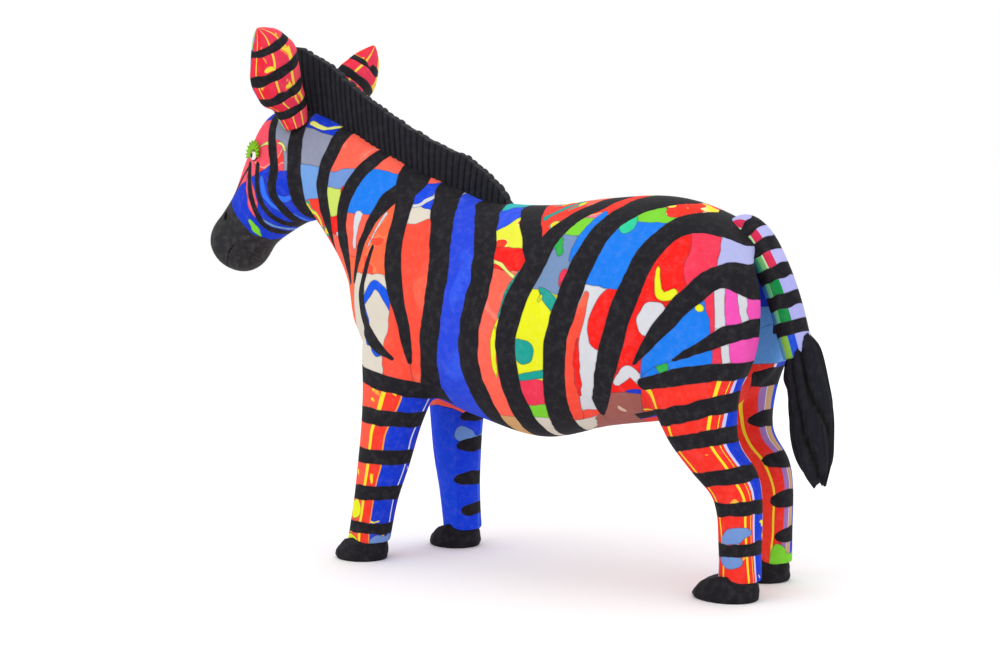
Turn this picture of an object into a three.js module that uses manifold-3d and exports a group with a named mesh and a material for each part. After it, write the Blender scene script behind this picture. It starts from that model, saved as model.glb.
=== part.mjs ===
// A standing zebra figure carved from coloured sandal foam glued in slabs, with black foam stripes let
// into the skin. Millimetres, +Z up, the head towards -Y, the animal's left side towards +X, the ground
// at z = 0 and the origin under the middle of the whole figure.
import * as THREE from "three";
import { mergeVertices } from "three/addons/utils/BufferGeometryUtils.js";
import Module from "manifold-3d";

const wasm = await Module();
wasm.setup();
const { Manifold, Mesh } = wasm;

// ---------- driving dimensions ----------
const SKIN = 10;          // thickness of the coloured foam over the core
const GAP = 0.3;          // air between two glued pieces
const SIDES = 12;         // corners of a body ring
const HALF = 150;         // half length of the cutters that run across the body
const HOOF_H = 26;        // height of a hoof
const SHOULDER_Z = 212;   // height at which a front leg is glued under the shoulder
const THIGH_Z = 206;      // and a hind leg under the thigh
const EYE = [36, -296, 437];

// Rings of the body: y, z, lean of the ring in degrees, half width, reach up, reach down.
const TORSO = [
  [323, 286, 0, 12, 14, 18], [317, 284, 0, 48, 42, 52], [298, 282, 0, 78, 72, 80], [261, 278, 0, 97, 101, 100],
  [206, 273, 0, 105, 122, 106], [136, 268, 0, 107, 125, 112], [66, 264, 0, 107, 121, 124], [-4, 268, 0, 100, 120, 114],
  [-64, 281, 0, 92, 122, 108], [-116, 296, 0, 80, 108, 100], [-150, 294, 0, 57, 78, 80], [-165, 289, 0, 30, 45, 52],
  [-170, 287, 0, 8, 12, 12],
];
const NECK = [
  [-44, 296, 36, 82, 100, 105], [-106, 318, 36, 72, 104, 100], [-138, 353, 32, 60, 80, 76], [-171, 382, 20, 50, 68, 67],
  [-206, 408, 5, 43, 66, 65], [-236, 426, -8, 41, 66, 62],
];
const HEAD = [
  [-204, 422, 2, 32, 46, 44], [-224, 426, -4, 38, 54, 50], [-244, 428, -10, 42, 66, 62], [-274, 418, -18, 43, 68, 60],
  [-299, 394, -24, 39, 54, 49], [-321, 366, -30, 33, 41, 37], [-340, 344, -34, 30, 38, 38], [-357, 330, -36, 28, 34, 32],
  [-368, 323, -38, 20, 22, 20], [-373, 320, -38, 6, 6, 6],
];
// Leg rings: z, x, y, half width, reach forward, reach back.
const FRONT_LEFT = [
  [296, 50, -74, 26, 50, 54], [240, 55, -84, 35, 50, 50], [186, 56, -92, 32, 42, 42], [148, 57, -101, 29, 34, 34],
  [104, 59, -110, 26, 29, 29], [64, 61, -119, 24, 24, 24], [24, 63, -126, 23, 23, 23],
];
const FRONT_RIGHT = [
  [296, 50, -74, 26, 46, 46], [240, 55, -80, 34, 44, 44], [186, 54, -84, 31, 36, 36], [148, 53, -85, 28, 31, 31],
  [104, 52, -84, 26, 27, 27], [64, 52, -81, 23, 23, 23], [24, 52, -77, 22, 21, 21],
];
const HIND_LEFT = [
  [316, 48, 246, 34, 62, 56], [256, 56, 254, 40, 70, 60], [196, 56, 255, 36, 46, 46], [156, 53, 264, 31, 36, 36],
  [126, 52, 286, 27, 34, 34], [99, 52, 301, 24, 24, 24], [50, 52, 304, 22, 21, 21], [24, 52, 304, 22, 21, 21],
];
const HIND_RIGHT = [
  [316, 48, 246, 34, 62, 56], [256, 56, 253, 40, 70, 60], [196, 56, 251, 36, 45, 44], [156, 53, 258, 31, 36, 35],
  [126, 52, 278, 27, 34, 33], [99, 52, 292, 24, 24, 24], [50, 52, 295, 22, 21, 21], [24, 52, 295, 22, 21, 21],
];
// Tail and tuft: y, z, radius.
const TAIL = [[268, 350, 14], [283, 362, 16], [297, 352, 17], [312, 327, 17], [326, 294, 16.5], [337, 257, 16], [342, 234, 15]];
const TUFT = [[341, 246, 13], [346, 232, 19], [352, 212, 20], [356, 188, 21.5], [357, 156, 20], [361, 126, 14], [366, 106, 4]];
// Mane: crest line and the line it stands on, front to back.
const CREST = [[-268, 566], [-222, 545], [-178, 512], [-125, 479], [-74, 454], [-36, 438], [-2, 412], [27, 387]];
const FOOT = [[-254, 474], [-199, 452], [-146, 428], [-94, 403], [-44, 384], [-14, 378], [10, 374], [29, 372]];

// Stripes on the side view: y, z, half width. They run over the back or round the belly where the line
// is carried past the outline.
const STRIPES = {
  stripe_cheek: [[-284, 520, 5], [-270, 453, 5.5], [-265, 425, 5.5], [-269, 398, 5.5], [-260, 375, 5], [-238, 340, 5]],
  stripe_jaw: [[-240, 520, 8], [-239, 450, 9], [-238, 408, 9], [-237, 380, 8.5], [-224, 362, 6], [-214, 334, 5]],
  stripe_face_rear: [[-291, 424, 2.5], [-293, 400, 3], [-286, 377, 3], [-268, 361, 3], [-249, 361, 2.5]],
  stripe_face_front: [[-309, 424, 2.5], [-308, 400, 2.5], [-299, 370, 3], [-288, 354, 3], [-272, 352, 2]],
  stripe_neck_1: [[-184, 490, 7], [-188, 455, 8], [-199, 402, 8], [-194, 366, 7], [-190, 333, 2]],
  stripe_neck_2: [[-132, 470, 8], [-141, 434, 8], [-157, 407, 8], [-166, 384, 8], [-168, 356, 8], [-162, 322, 7], [-157, 300, 2.5]],
  stripe_neck_3: [[-110, 450, 9], [-97, 412, 10], [-85, 378, 10], [-82, 345, 10.5], [-77, 305, 11], [-67, 272, 9], [-62, 244, 7], [-60, 219, 2]],
  stripe_neck_fork: [[-92, 396, 6], [-106, 384, 6], [-122, 360, 6], [-136, 330, 6], [-144, 300, 3]],
  stripe_breast: [[-112, 340, 2], [-121, 312, 4], [-128, 286, 5], [-124, 258, 6.5], [-103, 238, 7], [-78, 223, 2]],
  stripe_shoulder_1: [[-66, 430, 8], [-50, 400, 10], [-34, 370, 12], [-23, 338, 12], [-20, 308, 12], [-24, 272, 12], [-32, 236, 12], [-41, 196, 12], [-50, 150, 12]],
  stripe_shoulder_2: [[-25, 420, 8], [-3, 390, 9], [20, 364, 12], [33, 332, 13], [34, 300, 13], [25, 262, 12.5], [21, 222, 12.5], [26, 186, 12.5], [30, 130, 12.5]],
  stripe_barrel_fork: [[36, 420, 9], [50, 390, 9], [72, 368, 10], [92, 338, 11]],
  stripe_barrel_1: [[182, 412, 4], [158, 396, 5], [130, 379, 7], [107, 355, 9.5], [91, 322, 13], [75, 286, 13], [69, 250, 12], [69, 206, 12], [71, 170, 12], [74, 128, 12]],
  stripe_barrel_2: [[260, 388, 2], [232, 394, 6], [204, 391, 9], [182, 382, 10.5], [163, 362, 12], [150, 326, 13], [138, 290, 13], [127, 254, 12.5], [119, 212, 11.5], [109, 168, 11.5], [98, 130, 11.5]],
  stripe_barrel_3: [[340, 346, 9], [296, 366, 9.5], [264, 374, 10.5], [240, 366, 11], [222, 346, 11.5], [209, 316, 12], [197, 280, 12], [183, 240, 11], [172, 212, 9.5], [161, 190, 7], [155, 176, 2]],
  stripe_rump_1: [[345, 290, 10], [322, 306, 10.5], [302, 322, 11], [286, 320, 11], [266, 300, 10.5], [246, 278, 9], [226, 254, 6], [209, 233, 1.5]],
  stripe_rump_2: [[345, 272, 8], [314, 271, 8], [298, 265, 7.5], [280, 253, 6], [250, 238, 1.5]],
  stripe_thigh: [[345, 226, 8.5], [310, 227, 8.5], [288, 227, 8.5], [258, 222, 8.5], [214, 212, 6]],
};
// Stripes that stop short of the middle line, so left and right are two pieces.
const SIDED = ["stripe_neck_fork", "stripe_breast"];
const BOX = [[-460, -20], [460, -20], [460, 620], [-460, 620]];
// Where the coloured foam is parted: under every stripe that crosses the whole body, and along glue
// lines past a stripe's free end.
const PART = {
  muzzle: [[-380, 412], [-352, 394], [-332, 377], [-315, 358], [-303, 346], [-285, 340], [-262, 300]],
  cheek: [[-284, 520], [-270, 453], [-265, 425], [-269, 398], [-260, 375], [-238, 340], [-236, 300]],
  jaw: [[-240, 520], [-239, 450], [-238, 408], [-237, 380], [-224, 362], [-214, 334], [-212, 300]],
  neck_1: [[-184, 520], [-188, 455], [-199, 402], [-194, 366], [-190, 333], [-206, 308], [-230, 290]],
  neck_2: [[-120, 520], [-141, 434], [-157, 407], [-166, 384], [-168, 356], [-162, 322], [-157, 300], [-172, 266], [-230, 236]],
  fork: [[-104, 520], [-97, 412], [-92, 396], [-106, 384], [-122, 360], [-136, 330], [-144, 300], [-150, 262], [-162, 226], [-230, 180]],
  neck_3: [[-104, 520], [-97, 412], [-85, 378], [-82, 345], [-77, 305], [-67, 272], [-62, 244], [-60, 219], [-58, 190], [-60, 100]],
  shoulder_1: [[-80, 520], [-50, 400], [-34, 370], [-23, 338], [-20, 308], [-24, 272], [-32, 236], [-41, 196], [-50, 100]],
  shoulder_2: [[-60, 520], [-3, 390], [20, 364], [33, 332], [34, 300], [25, 262], [21, 222], [26, 186], [30, 100]],
  saddle: [[26, 520], [50, 390], [72, 368], [92, 336], [75, 286], [69, 250], [69, 206], [71, 170], [74, 100]],
  barrel_1: [[260, 520], [182, 412], [158, 396], [130, 379], [107, 355], [92, 336], [75, 286], [69, 250], [69, 206], [71, 170], [74, 100]],
  barrel_2: [[420, 450], [260, 388], [232, 394], [204, 391], [182, 382], [163, 362], [150, 326], [138, 290], [127, 254], [119, 212], [109, 168], [98, 100]],
  barrel_3: [[420, 330], [340, 346], [296, 366], [264, 374], [240, 366], [222, 346], [209, 316], [197, 280], [183, 240], [172, 212], [161, 190], [150, 160], [146, 100]],
  rump_1: [[420, 280], [345, 290], [322, 306], [302, 322], [286, 320], [266, 300], [246, 278], [226, 254], [209, 233], [203, 218], [202, 206], [196, 180], [192, 100]],
  rump_2: [[420, 272], [345, 272], [314, 271], [298, 265], [280, 253], [250, 238], [228, 229], [203, 218], [202, 206], [196, 180], [192, 100]],
  thigh: [[420, 226], [345, 226], [310, 227], [288, 227], [258, 222], [214, 212], [202, 206], [196, 180], [192, 100]],
};
// Coloured bands: node name, its front edge, its rear edge, colour.
const BANDS = [
  ["band_face", "muzzle", "cheek", 0xf0606c], ["band_cheek", "cheek", "jaw", 0x9aa0b4], ["band_poll", "jaw", "neck_1", 0x7ba6dc],
  ["band_neck_front", "neck_1", "neck_2", 0xfb6a5a], ["band_neck_rear", "neck_2", "fork", 0x1d80ee], ["band_breast", "fork", "neck_3", 0xfb7048],
  ["band_shoulder_front", "neck_3", "shoulder_1", 0xf9503f], ["band_shoulder", "shoulder_1", "shoulder_2", 0x2f4fe0],
  ["band_barrel_front", "shoulder_2", "saddle", 0xfb6256], ["band_saddle", "saddle", "barrel_1", 0xe8803c],
  ["band_barrel_mid", "barrel_1", "barrel_2", 0xe8e030], ["band_barrel_rear", "barrel_2", "barrel_3", 0x0f7df0],
  ["band_flank", "barrel_3", "rump_1", 0xf31d1a], ["band_rump_upper", "rump_1", "rump_2", 0xf55ab8],
  ["band_rump_lower", "rump_2", "thigh", 0xe8406a], ["band_thigh", "thigh", null, 0xf02a22],
];

// ---------- helpers ----------
function spline(rows, count) {
  const d = [0];
  for (let i = 1; i < rows.length; i++) d.push(d[i - 1] + Math.max(1e-6, Math.hypot(rows[i][0] - rows[i - 1][0], rows[i][1] - rows[i - 1][1])));
  const m = rows.map((r, i) => {
    const a = Math.max(0, i - 1), b = Math.min(rows.length - 1, i + 1);
    return r.map((_, k) => (rows[b][k] - rows[a][k]) / (d[b] - d[a]));
  });
  const out = [];
  for (let j = 0; j < count; j++) {
    const t = (d[d.length - 1] * j) / (count - 1);
    let i = 0;
    while (i < d.length - 2 && d[i + 1] <= t) i++;
    const h = d[i + 1] - d[i], s = Math.min(1, (t - d[i]) / h), s2 = s * s, s3 = s2 * s;
    out.push(rows[i].map((v, k) => (2 * s3 - 3 * s2 + 1) * v + (s3 - 2 * s2 + s) * h * m[i][k] + (3 * s2 - 2 * s3) * rows[i + 1][k] + (s3 - s2) * h * m[i + 1][k]));
  }
  return out;
}
// Closed skin over a run of rings, each an array of THREE.Vector3, with a flat cap at both ends.
function skinOver(rings) {
  const n = rings[0].length, pos = [], idx = [];
  for (const r of rings) for (const v of r) pos.push(v.x, v.y, v.z);
  for (let i = 0; i < rings.length - 1; i++)
    for (let j = 0; j < n; j++) {
      const k = (j + 1) % n, a = i * n + j, b = i * n + k, c = (i + 1) * n + k, e = (i + 1) * n + j;
      idx.push(a, b, c, a, c, e);
    }
  for (const [i, flip] of [[0, true], [rings.length - 1, false]]) {
    const c = rings[i].reduce((s, v) => s.add(v), new THREE.Vector3()).multiplyScalar(1 / n);
    pos.push(c.x, c.y, c.z);
    const ci = pos.length / 3 - 1;
    for (let j = 0; j < n; j++) {
      const a = i * n + j, b = i * n + ((j + 1) % n);
      flip ? idx.push(ci, b, a) : idx.push(ci, a, b);
    }
  }
  const g = new THREE.BufferGeometry();
  g.setAttribute("position", new THREE.Float32BufferAttribute(pos, 3));
  g.setIndex(idx);
  return g;
}
function solid(geometry, matrix) {
  let g = geometry.clone();
  g.deleteAttribute("normal");
  g.deleteAttribute("uv");
  if (matrix) g.applyMatrix4(matrix);
  g = mergeVertices(g, 1e-4);
  const p = g.attributes.position, ix = g.index.array;
  let vol = 0;
  const v = [new THREE.Vector3(), new THREE.Vector3(), new THREE.Vector3()];
  for (let i = 0; i < ix.length; i += 3) {
    for (let k = 0; k < 3; k++) v[k].fromBufferAttribute(p, ix[i + k]);
    vol += v[0].dot(v[1].cross(v[2]));
  }
  const tri = Uint32Array.from(ix);
  if (vol < 0) for (let i = 0; i < tri.length; i += 3) [tri[i + 1], tri[i + 2]] = [tri[i + 2], tri[i + 1]];
  return new Manifold(new Mesh({ numProp: 3, vertProperties: new Float32Array(p.array), triVerts: tri }));
}
// Body ring: a slightly squared oval across X, leaning by a few degrees, drawn in by an inset.
function bodyRing([y, z, lean, a, up, down], inset) {
  const t = THREE.MathUtils.degToRad(lean), out = [], e = 2 / 2.08;
  for (let j = 0; j < SIDES; j++) {
    const th = (2 * Math.PI * j) / SIDES, c = Math.cos(th), s = Math.sin(th);
    const w = (s > 0 ? up : down) - inset;
    const v = w * Math.sign(s) * Math.abs(s) ** e;
    out.push(new THREE.Vector3((a - inset) * Math.sign(c) * Math.abs(c) ** e, y + v * Math.sin(t), z + v * Math.cos(t)));
  }
  return out;
}
function body(rows, count, inset) {
  const fit = spline(rows, count).filter((r) => r[3] - inset > 4 && r[4] - inset > 4 && r[5] - inset > 4);
  return solid(skinOver(fit.map((r) => bodyRing(r, inset))));
}

function leg(rows, side, inset = 0) {
  const path = spline(rows.map(([z, x, y, a, f, b]) => [z, y, x, a - inset, f - inset, b - inset]), 7);
  return solid(skinOver(path.map(([z, y, x, a, f, b]) => {
    const ring = [];
    for (let j = 0; j < 10; j++) {
      const th = (2 * Math.PI * j) / 10, s = Math.sin(th);
      ring.push(new THREE.Vector3(side * (x + a * Math.cos(th)), y + (s > 0 ? b : f) * s, z));
    }
    return ring;
  })));
}
// Hoof levels: height, share of the half width, share of the toe's reach.
function hoof(side, x, y, toe, heel) {
  const levels = [[0, 0.95, 0.95], [5, 1, 1], [14, 0.98, 0.9], [21, 0.93, 0.76], [HOOF_H, 0.84, 0.6]];
  return solid(skinOver(levels.map(([z, k, q]) => {
    const ring = [];
    for (let j = 0; j < 14; j++) {
      const th = (2 * Math.PI * j) / 14, s = Math.sin(th);
      ring.push(new THREE.Vector3(side * (x + 27 * k * Math.cos(th)), y + (s > 0 ? heel * k : toe * q) * s, z));
    }
    return ring;
  })));
}
function tube(rows, sides, grow, count) {
  const path = spline(rows, count);
  return solid(skinOver(path.map(([y, z, r], i) => {
    const a = path[Math.max(0, i - 1)], b = path[Math.min(path.length - 1, i + 1)];
    const l = Math.hypot(b[0] - a[0], b[1] - a[1]), ny = -(b[1] - a[1]) / l, nz = (b[0] - a[0]) / l, ring = [];
    for (let j = 0; j < sides; j++) {
      const th = (2 * Math.PI * j) / sides, q = (r + grow) * Math.sin(th);
      ring.push(new THREE.Vector3((r + grow) * Math.cos(th), y + q * ny, z + q * nz));
    }
    return ring;
  })));
}
// A cutter: an outline on the side view (y, z) carried right across the body along X.
const ACROSS = new THREE.Matrix4().makeBasis(new THREE.Vector3(0, 1, 0), new THREE.Vector3(0, 0, 1), new THREE.Vector3(1, 0, 0));
const slab = (low, high) => across([[-460, low], [460, low], [460, high], [-460, high]]);
function across(outline, from = -HALF, to = HALF) {
  const shape = new THREE.Shape(outline.map(([y, z]) => new THREE.Vector2(y, z)));
  const g = new THREE.ExtrudeGeometry(shape, { depth: to - from, bevelEnabled: false });
  g.translate(0, 0, from);
  return solid(g, ACROSS);
}
function ribbon(line, grow) {
  const path = line, left = [], right = [];
  path.forEach(([y, z, w], i) => {
    const a = path[Math.max(0, i - 1)], b = path[Math.min(path.length - 1, i + 1)];
    const l = Math.hypot(b[0] - a[0], b[1] - a[1]), ny = -(b[1] - a[1]) / l, nz = (b[0] - a[0]) / l, h = Math.max(0.8, w) + grow;
    const end = i === 0 ? -grow : i === path.length - 1 ? grow : 0;
    const ey = ((b[0] - a[0]) / l) * end, ez = ((b[1] - a[1]) / l) * end;
    left.push([y + ny * h + ey, z + nz * h + ez]);
    right.push([y - ny * h + ey, z - nz * h + ez]);
  });
  return across([...left, ...right.reverse()]);
}
const slit = (line) => {
  let out = null;
  for (let i = 0; i < line.length - 1; i++) {
    const [a, b] = [line[i], line[i + 1]], l = Math.hypot(b[0] - a[0], b[1] - a[1]);
    const u = [(b[0] - a[0]) / l, (b[1] - a[1]) / l], h = GAP / 2;
    const q = across([[a[0] - u[1] * h - u[0] * h, a[1] + u[0] * h - u[1] * h], [b[0] - u[1] * h + u[0] * h, b[1] + u[0] * h + u[1] * h],
      [b[0] + u[1] * h + u[0] * h, b[1] - u[0] * h + u[1] * h], [a[0] + u[1] * h - u[0] * h, a[1] - u[0] * h - u[1] * h]]);
    out = out ? out.add(q) : q;
  }
  return out;
};
function biggest(m) {
  const bits = m.decompose();
  return bits.reduce((a, b) => (b.volume() > a.volume() ? b : a));
}

// ---------- the figure ----------
const figure = new THREE.Group();
function put(name, m, color, roughness = 0.85) {
  const piece = biggest(m), q = piece.getMesh();
  const g = new THREE.BufferGeometry();
  g.setAttribute("position", new THREE.BufferAttribute(new Float32Array(q.vertProperties), 3));
  g.setIndex(new THREE.BufferAttribute(new Uint32Array(q.triVerts), 1));
  g.computeVertexNormals();
  const mesh = new THREE.Mesh(g, new THREE.MeshStandardMaterial({ color, roughness, metalness: 0 }));
  mesh.name = name;
  figure.add(mesh);
}

const BLACK = 0x242126;
const LEGS = [
  ["front_left", FRONT_LEFT, 1, 63, -126, SHOULDER_Z], ["front_right", FRONT_RIGHT, -1, 52, -77, SHOULDER_Z],
  ["hind_left", HIND_LEFT, 1, 52, 304, THIGH_Z], ["hind_right", HIND_RIGHT, -1, 52, 295, THIGH_Z],
];
// The cleft between the two buttocks, cut by a tall narrow oval that grows with the inset.
const cleft = (grow) => solid(new THREE.SphereGeometry(1, 12, 8).scale(15 + grow, 34 + grow, 96 + grow), new THREE.Matrix4().makeTranslation(0, 344, 226));
const trunk = (inset) => body(TORSO, 11, inset).add(body(NECK, 5, inset)).add(body(HEAD, 8, inset)).subtract(cleft(inset));
// The trunk with the tops of the four legs, which the body skin runs over.
const outer = LEGS.reduce((m, [, rows, side, , , cut]) => m.add(leg(rows, side).intersect(slab(cut, 400))), trunk(0));
const clear = trunk(-GAP), under = trunk(SKIN), core = trunk(SKIN + GAP);
const maneEnds = CREST.map((c, i) => [c, FOOT[i]]);
const inFront = [...PART.muzzle, [-262, 200], [-460, 200], [-460, 412]];
const muzzleCut = across(inFront);
put("foam_core", core.subtract(muzzleCut).subtract(slit(PART.muzzle)), 0x8c8c90);
put("muzzle", outer.intersect(muzzleCut).subtract(slit(PART.muzzle)), BLACK);

const skin = outer.subtract(under).subtract(muzzleCut);
let used = slit(PART.muzzle);
for (const [name, line] of Object.entries(STRIPES)) {
  const m = skin.intersect(ribbon(line, 0)).subtract(used);
  if (SIDED.includes(name)) for (const [tag, from, to] of [["_left", 0, HALF], ["_right", -HALF, 0]]) put(name + tag, m.intersect(across(BOX, from, to)), BLACK);
  else put(name, m, BLACK);
  used = used.add(ribbon(line, GAP));
}
const lines = Object.values(PART).slice(1).map(slit).reduce((a, b) => a.add(b));
used = used.add(lines);
// Everything on the tail side of a parting line.
const behind = (line) => across([...line, [line.at(-1)[0], 90], [430, 90], [430, line[0][1]]]);
for (const [name, front, rear, color] of BANDS) {
  let m = skin;
  if (front !== "muzzle") m = m.intersect(behind(PART[front]));
  if (rear) m = m.subtract(behind(PART[rear]));
  put(name, m.subtract(used), color);
}

for (const [name, rows, side, x, y, cut] of LEGS) {
  const hind = name.startsWith("hind");
  const h = hoof(side, x, hind ? y - 11 : y - 8, hind ? 38 : 32, hind ? 30 : 27);
  put("leg_" + name, leg(rows, side).intersect(slab(0, cut - GAP)).subtract(clear), hind ? 0xf02a22 : side > 0 ? 0xf2503c : 0x1446d8);
  // The foot of the leg stands in a shallow seat in the hoof.
  put("hoof_" + name, h.subtract(leg(rows, side, -GAP).translate([0, 0, -GAP])), BLACK);
}

// Mane: a fin of foam strips standing on the crest of the neck.
const fin = solid(skinOver(spline(maneEnds.map(([c, f]) => [...c, ...f]), 9).map(([cy, cz, fy, fz]) => [
  new THREE.Vector3(11, fy, fz), new THREE.Vector3(9, cy, cz - 3), new THREE.Vector3(5, cy, cz), new THREE.Vector3(-5, cy, cz),
  new THREE.Vector3(-9, cy, cz - 3), new THREE.Vector3(-11, fy, fz),
])));
put("mane", fin.subtract(clear), BLACK);

// Ears: plump leaves with a hollow in front, splayed outwards.
function ear(side, tip) {
  const foot = new THREE.Vector3(side * 32, -246, 470), end = new THREE.Vector3(...tip), axis = end.clone().sub(foot);
  const n = axis.clone().normalize(), face = new THREE.Vector3(-side * 0.25, -0.968, 0), bow = face.clone();
  face.addScaledVector(n, -face.dot(n)).normalize();
  const wide = new THREE.Vector3().crossVectors(n, face);
  const rows = spline([[0, 0, 16, 14, 0], [0.22, 0, 25, 21, 4], [0.48, 0, 30, 24, 6], [0.72, 0, 27, 20, 5], [0.9, 0, 16, 12, 2], [1, 0, 3, 2, 0]], 7);
  const full = solid(skinOver(rows.map(([q, , w, d, b]) => {
    const c = foot.clone().addScaledVector(axis, q).addScaledVector(bow, b), ring = [];
    for (let j = 0; j < 12; j++) {
      const th = (2 * Math.PI * j) / 12;
      ring.push(c.clone().addScaledVector(wide, w * Math.cos(th)).addScaledVector(face, d * Math.sin(th)));
    }
    return ring;
  })));
  const m = new THREE.Matrix4().makeBasis(wide, face, n).setPosition(foot.clone().addScaledVector(axis, 0.52).addScaledVector(bow, 6).addScaledVector(face, 24));
  return full.subtract(solid(new THREE.SphereGeometry(1, 10, 6).scale(19, 13, 38), m));
}
const earLeft = ear(1, [88, -248, 576]), earRight = ear(-1, [-94, -220, 562]);
const finWide = fin;
put("ear_left", earLeft.subtract(clear).subtract(finWide.translate([GAP, 0, 0])), 0xe8323c);
put("ear_right", earRight.subtract(clear).subtract(finWide.translate([-GAP, 0, 0])), 0xe8323c);

// Tail and its tuft.
const tail = tube(TAIL, 10, 0, 7);
put("tail", tail.subtract(clear), 0xa8a8e0);
put("tail_tuft", tube(TUFT, 10, 0, 7).subtract(tube(TAIL, 10, GAP, 7).translate([0, 0, -GAP])).subtract(clear), BLACK, 0.95);

// Eyes: a white bead let onto the face, a dark pupil and a toothed green lash over it.
for (const side of [1, -1]) {
  const tag = side > 0 ? "left" : "right";
  const n = new THREE.Vector3(side * 0.78, -0.6, 0.16).normalize(), at = new THREE.Vector3(side * EYE[0], EYE[1], EYE[2]);
  const up = new THREE.Vector3(0, 0, 1).addScaledVector(n, -n.z).normalize(), along = new THREE.Vector3().crossVectors(up, n);
  const place = (o) => new THREE.Matrix4().makeBasis(along, up, n).setPosition(at.clone().addScaledVector(n, o));
  const bead = (r, o, k = 0) => solid(new THREE.SphereGeometry(1, 10, 6).scale(r * 0.8 + k, r + k, r * 0.8 + k), place(o));
  put("eye_white_" + tag, bead(7, -1.5).subtract(clear), 0xf4f2ee, 0.4);
  put("eye_pupil_" + tag, bead(3.6, 2).subtract(bead(7, -1.5, GAP)).subtract(clear), 0x1a1012, 0.3);
  const teeth = new THREE.Shape(), f = side > 0 ? 1 : -1, count = 7;
  for (let i = 0; i <= count * 2; i++) {
    const a = THREE.MathUtils.degToRad(20 + (190 * i) / (count * 2)), r = i % 2 ? 19 : 12.5;
    const p = [-f * r * Math.cos(a) * -1, r * Math.sin(a)];
    i ? teeth.lineTo(...p) : teeth.moveTo(...p);
  }
  for (let i = 12; i >= 0; i--) {
    const a = THREE.MathUtils.degToRad(20 + (190 * i) / 12);
    teeth.lineTo(f * 7.4 * Math.cos(a), 7.9 * Math.sin(a));
  }
  const plate = solid(new THREE.ExtrudeGeometry(teeth, { depth: 14, bevelEnabled: false }).translate(0, 0, -11), place(0));
  put("lash_" + tag, plate.subtract(clear).subtract(bead(7, -1.5, GAP)), 0x8fd62f, 0.7);
}

export default figure;
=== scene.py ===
"""Zebra figure of glued sandal foam: smooth skin, inlaid black stripes, marbled colour patches."""
import math
import bpy
import numpy as np
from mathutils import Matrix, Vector


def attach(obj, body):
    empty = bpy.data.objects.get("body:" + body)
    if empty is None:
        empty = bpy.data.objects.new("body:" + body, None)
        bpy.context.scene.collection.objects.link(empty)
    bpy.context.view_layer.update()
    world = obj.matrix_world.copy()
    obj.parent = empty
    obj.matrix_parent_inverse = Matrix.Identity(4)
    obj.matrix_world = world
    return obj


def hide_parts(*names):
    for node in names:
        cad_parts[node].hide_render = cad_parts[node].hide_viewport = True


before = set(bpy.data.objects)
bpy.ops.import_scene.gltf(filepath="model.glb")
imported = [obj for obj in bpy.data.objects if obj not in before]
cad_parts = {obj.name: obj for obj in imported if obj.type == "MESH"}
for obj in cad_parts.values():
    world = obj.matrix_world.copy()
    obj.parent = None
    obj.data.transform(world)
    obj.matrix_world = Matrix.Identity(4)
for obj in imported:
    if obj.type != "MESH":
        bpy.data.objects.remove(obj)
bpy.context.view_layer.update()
MM = 0.001

# ---------------------------------------------------------------- sizes, in millimetres
# Body rings: y, z, lean in degrees, half width, reach up, reach down.
TORSO = [(323, 286, 0, 12, 14, 18), (317, 284, 0, 48, 42, 52), (298, 282, 0, 78, 72, 80),
         (261, 278, 0, 97, 101, 100),
         (206, 273, 0, 105, 122, 106), (136, 268, 0, 107, 125, 112), (66, 264, 0, 107, 121, 124),
         (-4, 268, 0, 100, 120, 114),
         (-64, 281, 0, 92, 122, 108), (-116, 296, 0, 80, 108, 100), (-150, 294, 0, 57, 78, 80),
         (-165, 289, 0, 30, 45, 52),
         (-170, 287, 0, 8, 12, 12)]
NECK = [(-44, 296, 36, 82, 100, 105), (-106, 318, 36, 72, 104, 100), (-138, 353, 32, 60, 80, 76),
        (-171, 382, 20, 50, 68, 67),
        (-206, 408, 5, 43, 66, 65), (-236, 426, -8, 41, 66, 62)]
HEAD = [(-204, 422, 2, 32, 46, 44), (-224, 426, -4, 38, 54, 50), (-244, 428, -10, 42, 66, 62),
        (-274, 418, -18, 43, 68, 60),
        (-299, 394, -24, 39, 54, 49), (-321, 366, -30, 33, 41, 37), (-340, 344, -34, 30, 38, 38),
        (-357, 330, -36, 28, 34, 32),
        (-368, 323, -38, 20, 22, 20), (-373, 320, -38, 6, 6, 6)]
# Leg rings: z, x, y, half width, reach forward, reach back.
FRONT_LEFT = [(296, 50, -74, 26, 50, 54), (240, 55, -84, 35, 50, 50), (186, 56, -92, 32, 42, 42),
              (148, 57, -101, 29, 34, 34),
              (104, 59, -110, 26, 29, 29), (64, 61, -119, 24, 24, 24), (20, 63, -127, 23, 23, 23)]
FRONT_RIGHT = [(296, 50, -74, 26, 46, 46), (240, 55, -80, 34, 44, 44), (186, 54, -84, 31, 36, 36),
               (148, 53, -85, 28, 31, 31),
               (104, 52, -84, 26, 27, 27), (64, 52, -81, 23, 23, 23), (20, 52, -77, 22, 21, 21)]
HIND_LEFT = [(316, 48, 246, 34, 62, 56), (256, 56, 254, 40, 70, 60), (196, 56, 255, 36, 46, 46),
             (156, 53, 264, 31, 36, 36),
             (126, 52, 286, 27, 34, 34), (99, 52, 301, 24, 24, 24), (50, 52, 304, 22, 21, 21),
             (20, 52, 304, 22, 21, 21)]
HIND_RIGHT = [(316, 48, 246, 34, 62, 56), (256, 56, 253, 40, 70, 60), (196, 56, 251, 36, 45, 44),
              (156, 53, 258, 31, 36, 35),
              (126, 52, 278, 27, 34, 33), (99, 52, 292, 24, 24, 24), (50, 52, 295, 22, 21, 21),
              (20, 52, 295, 22, 21, 21)]
LEGS = {"leg_front_left": (FRONT_LEFT, 1), "leg_front_right": (FRONT_RIGHT, -1),
        "leg_hind_left": (HIND_LEFT, 1), "leg_hind_right": (HIND_RIGHT, -1)}
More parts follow.
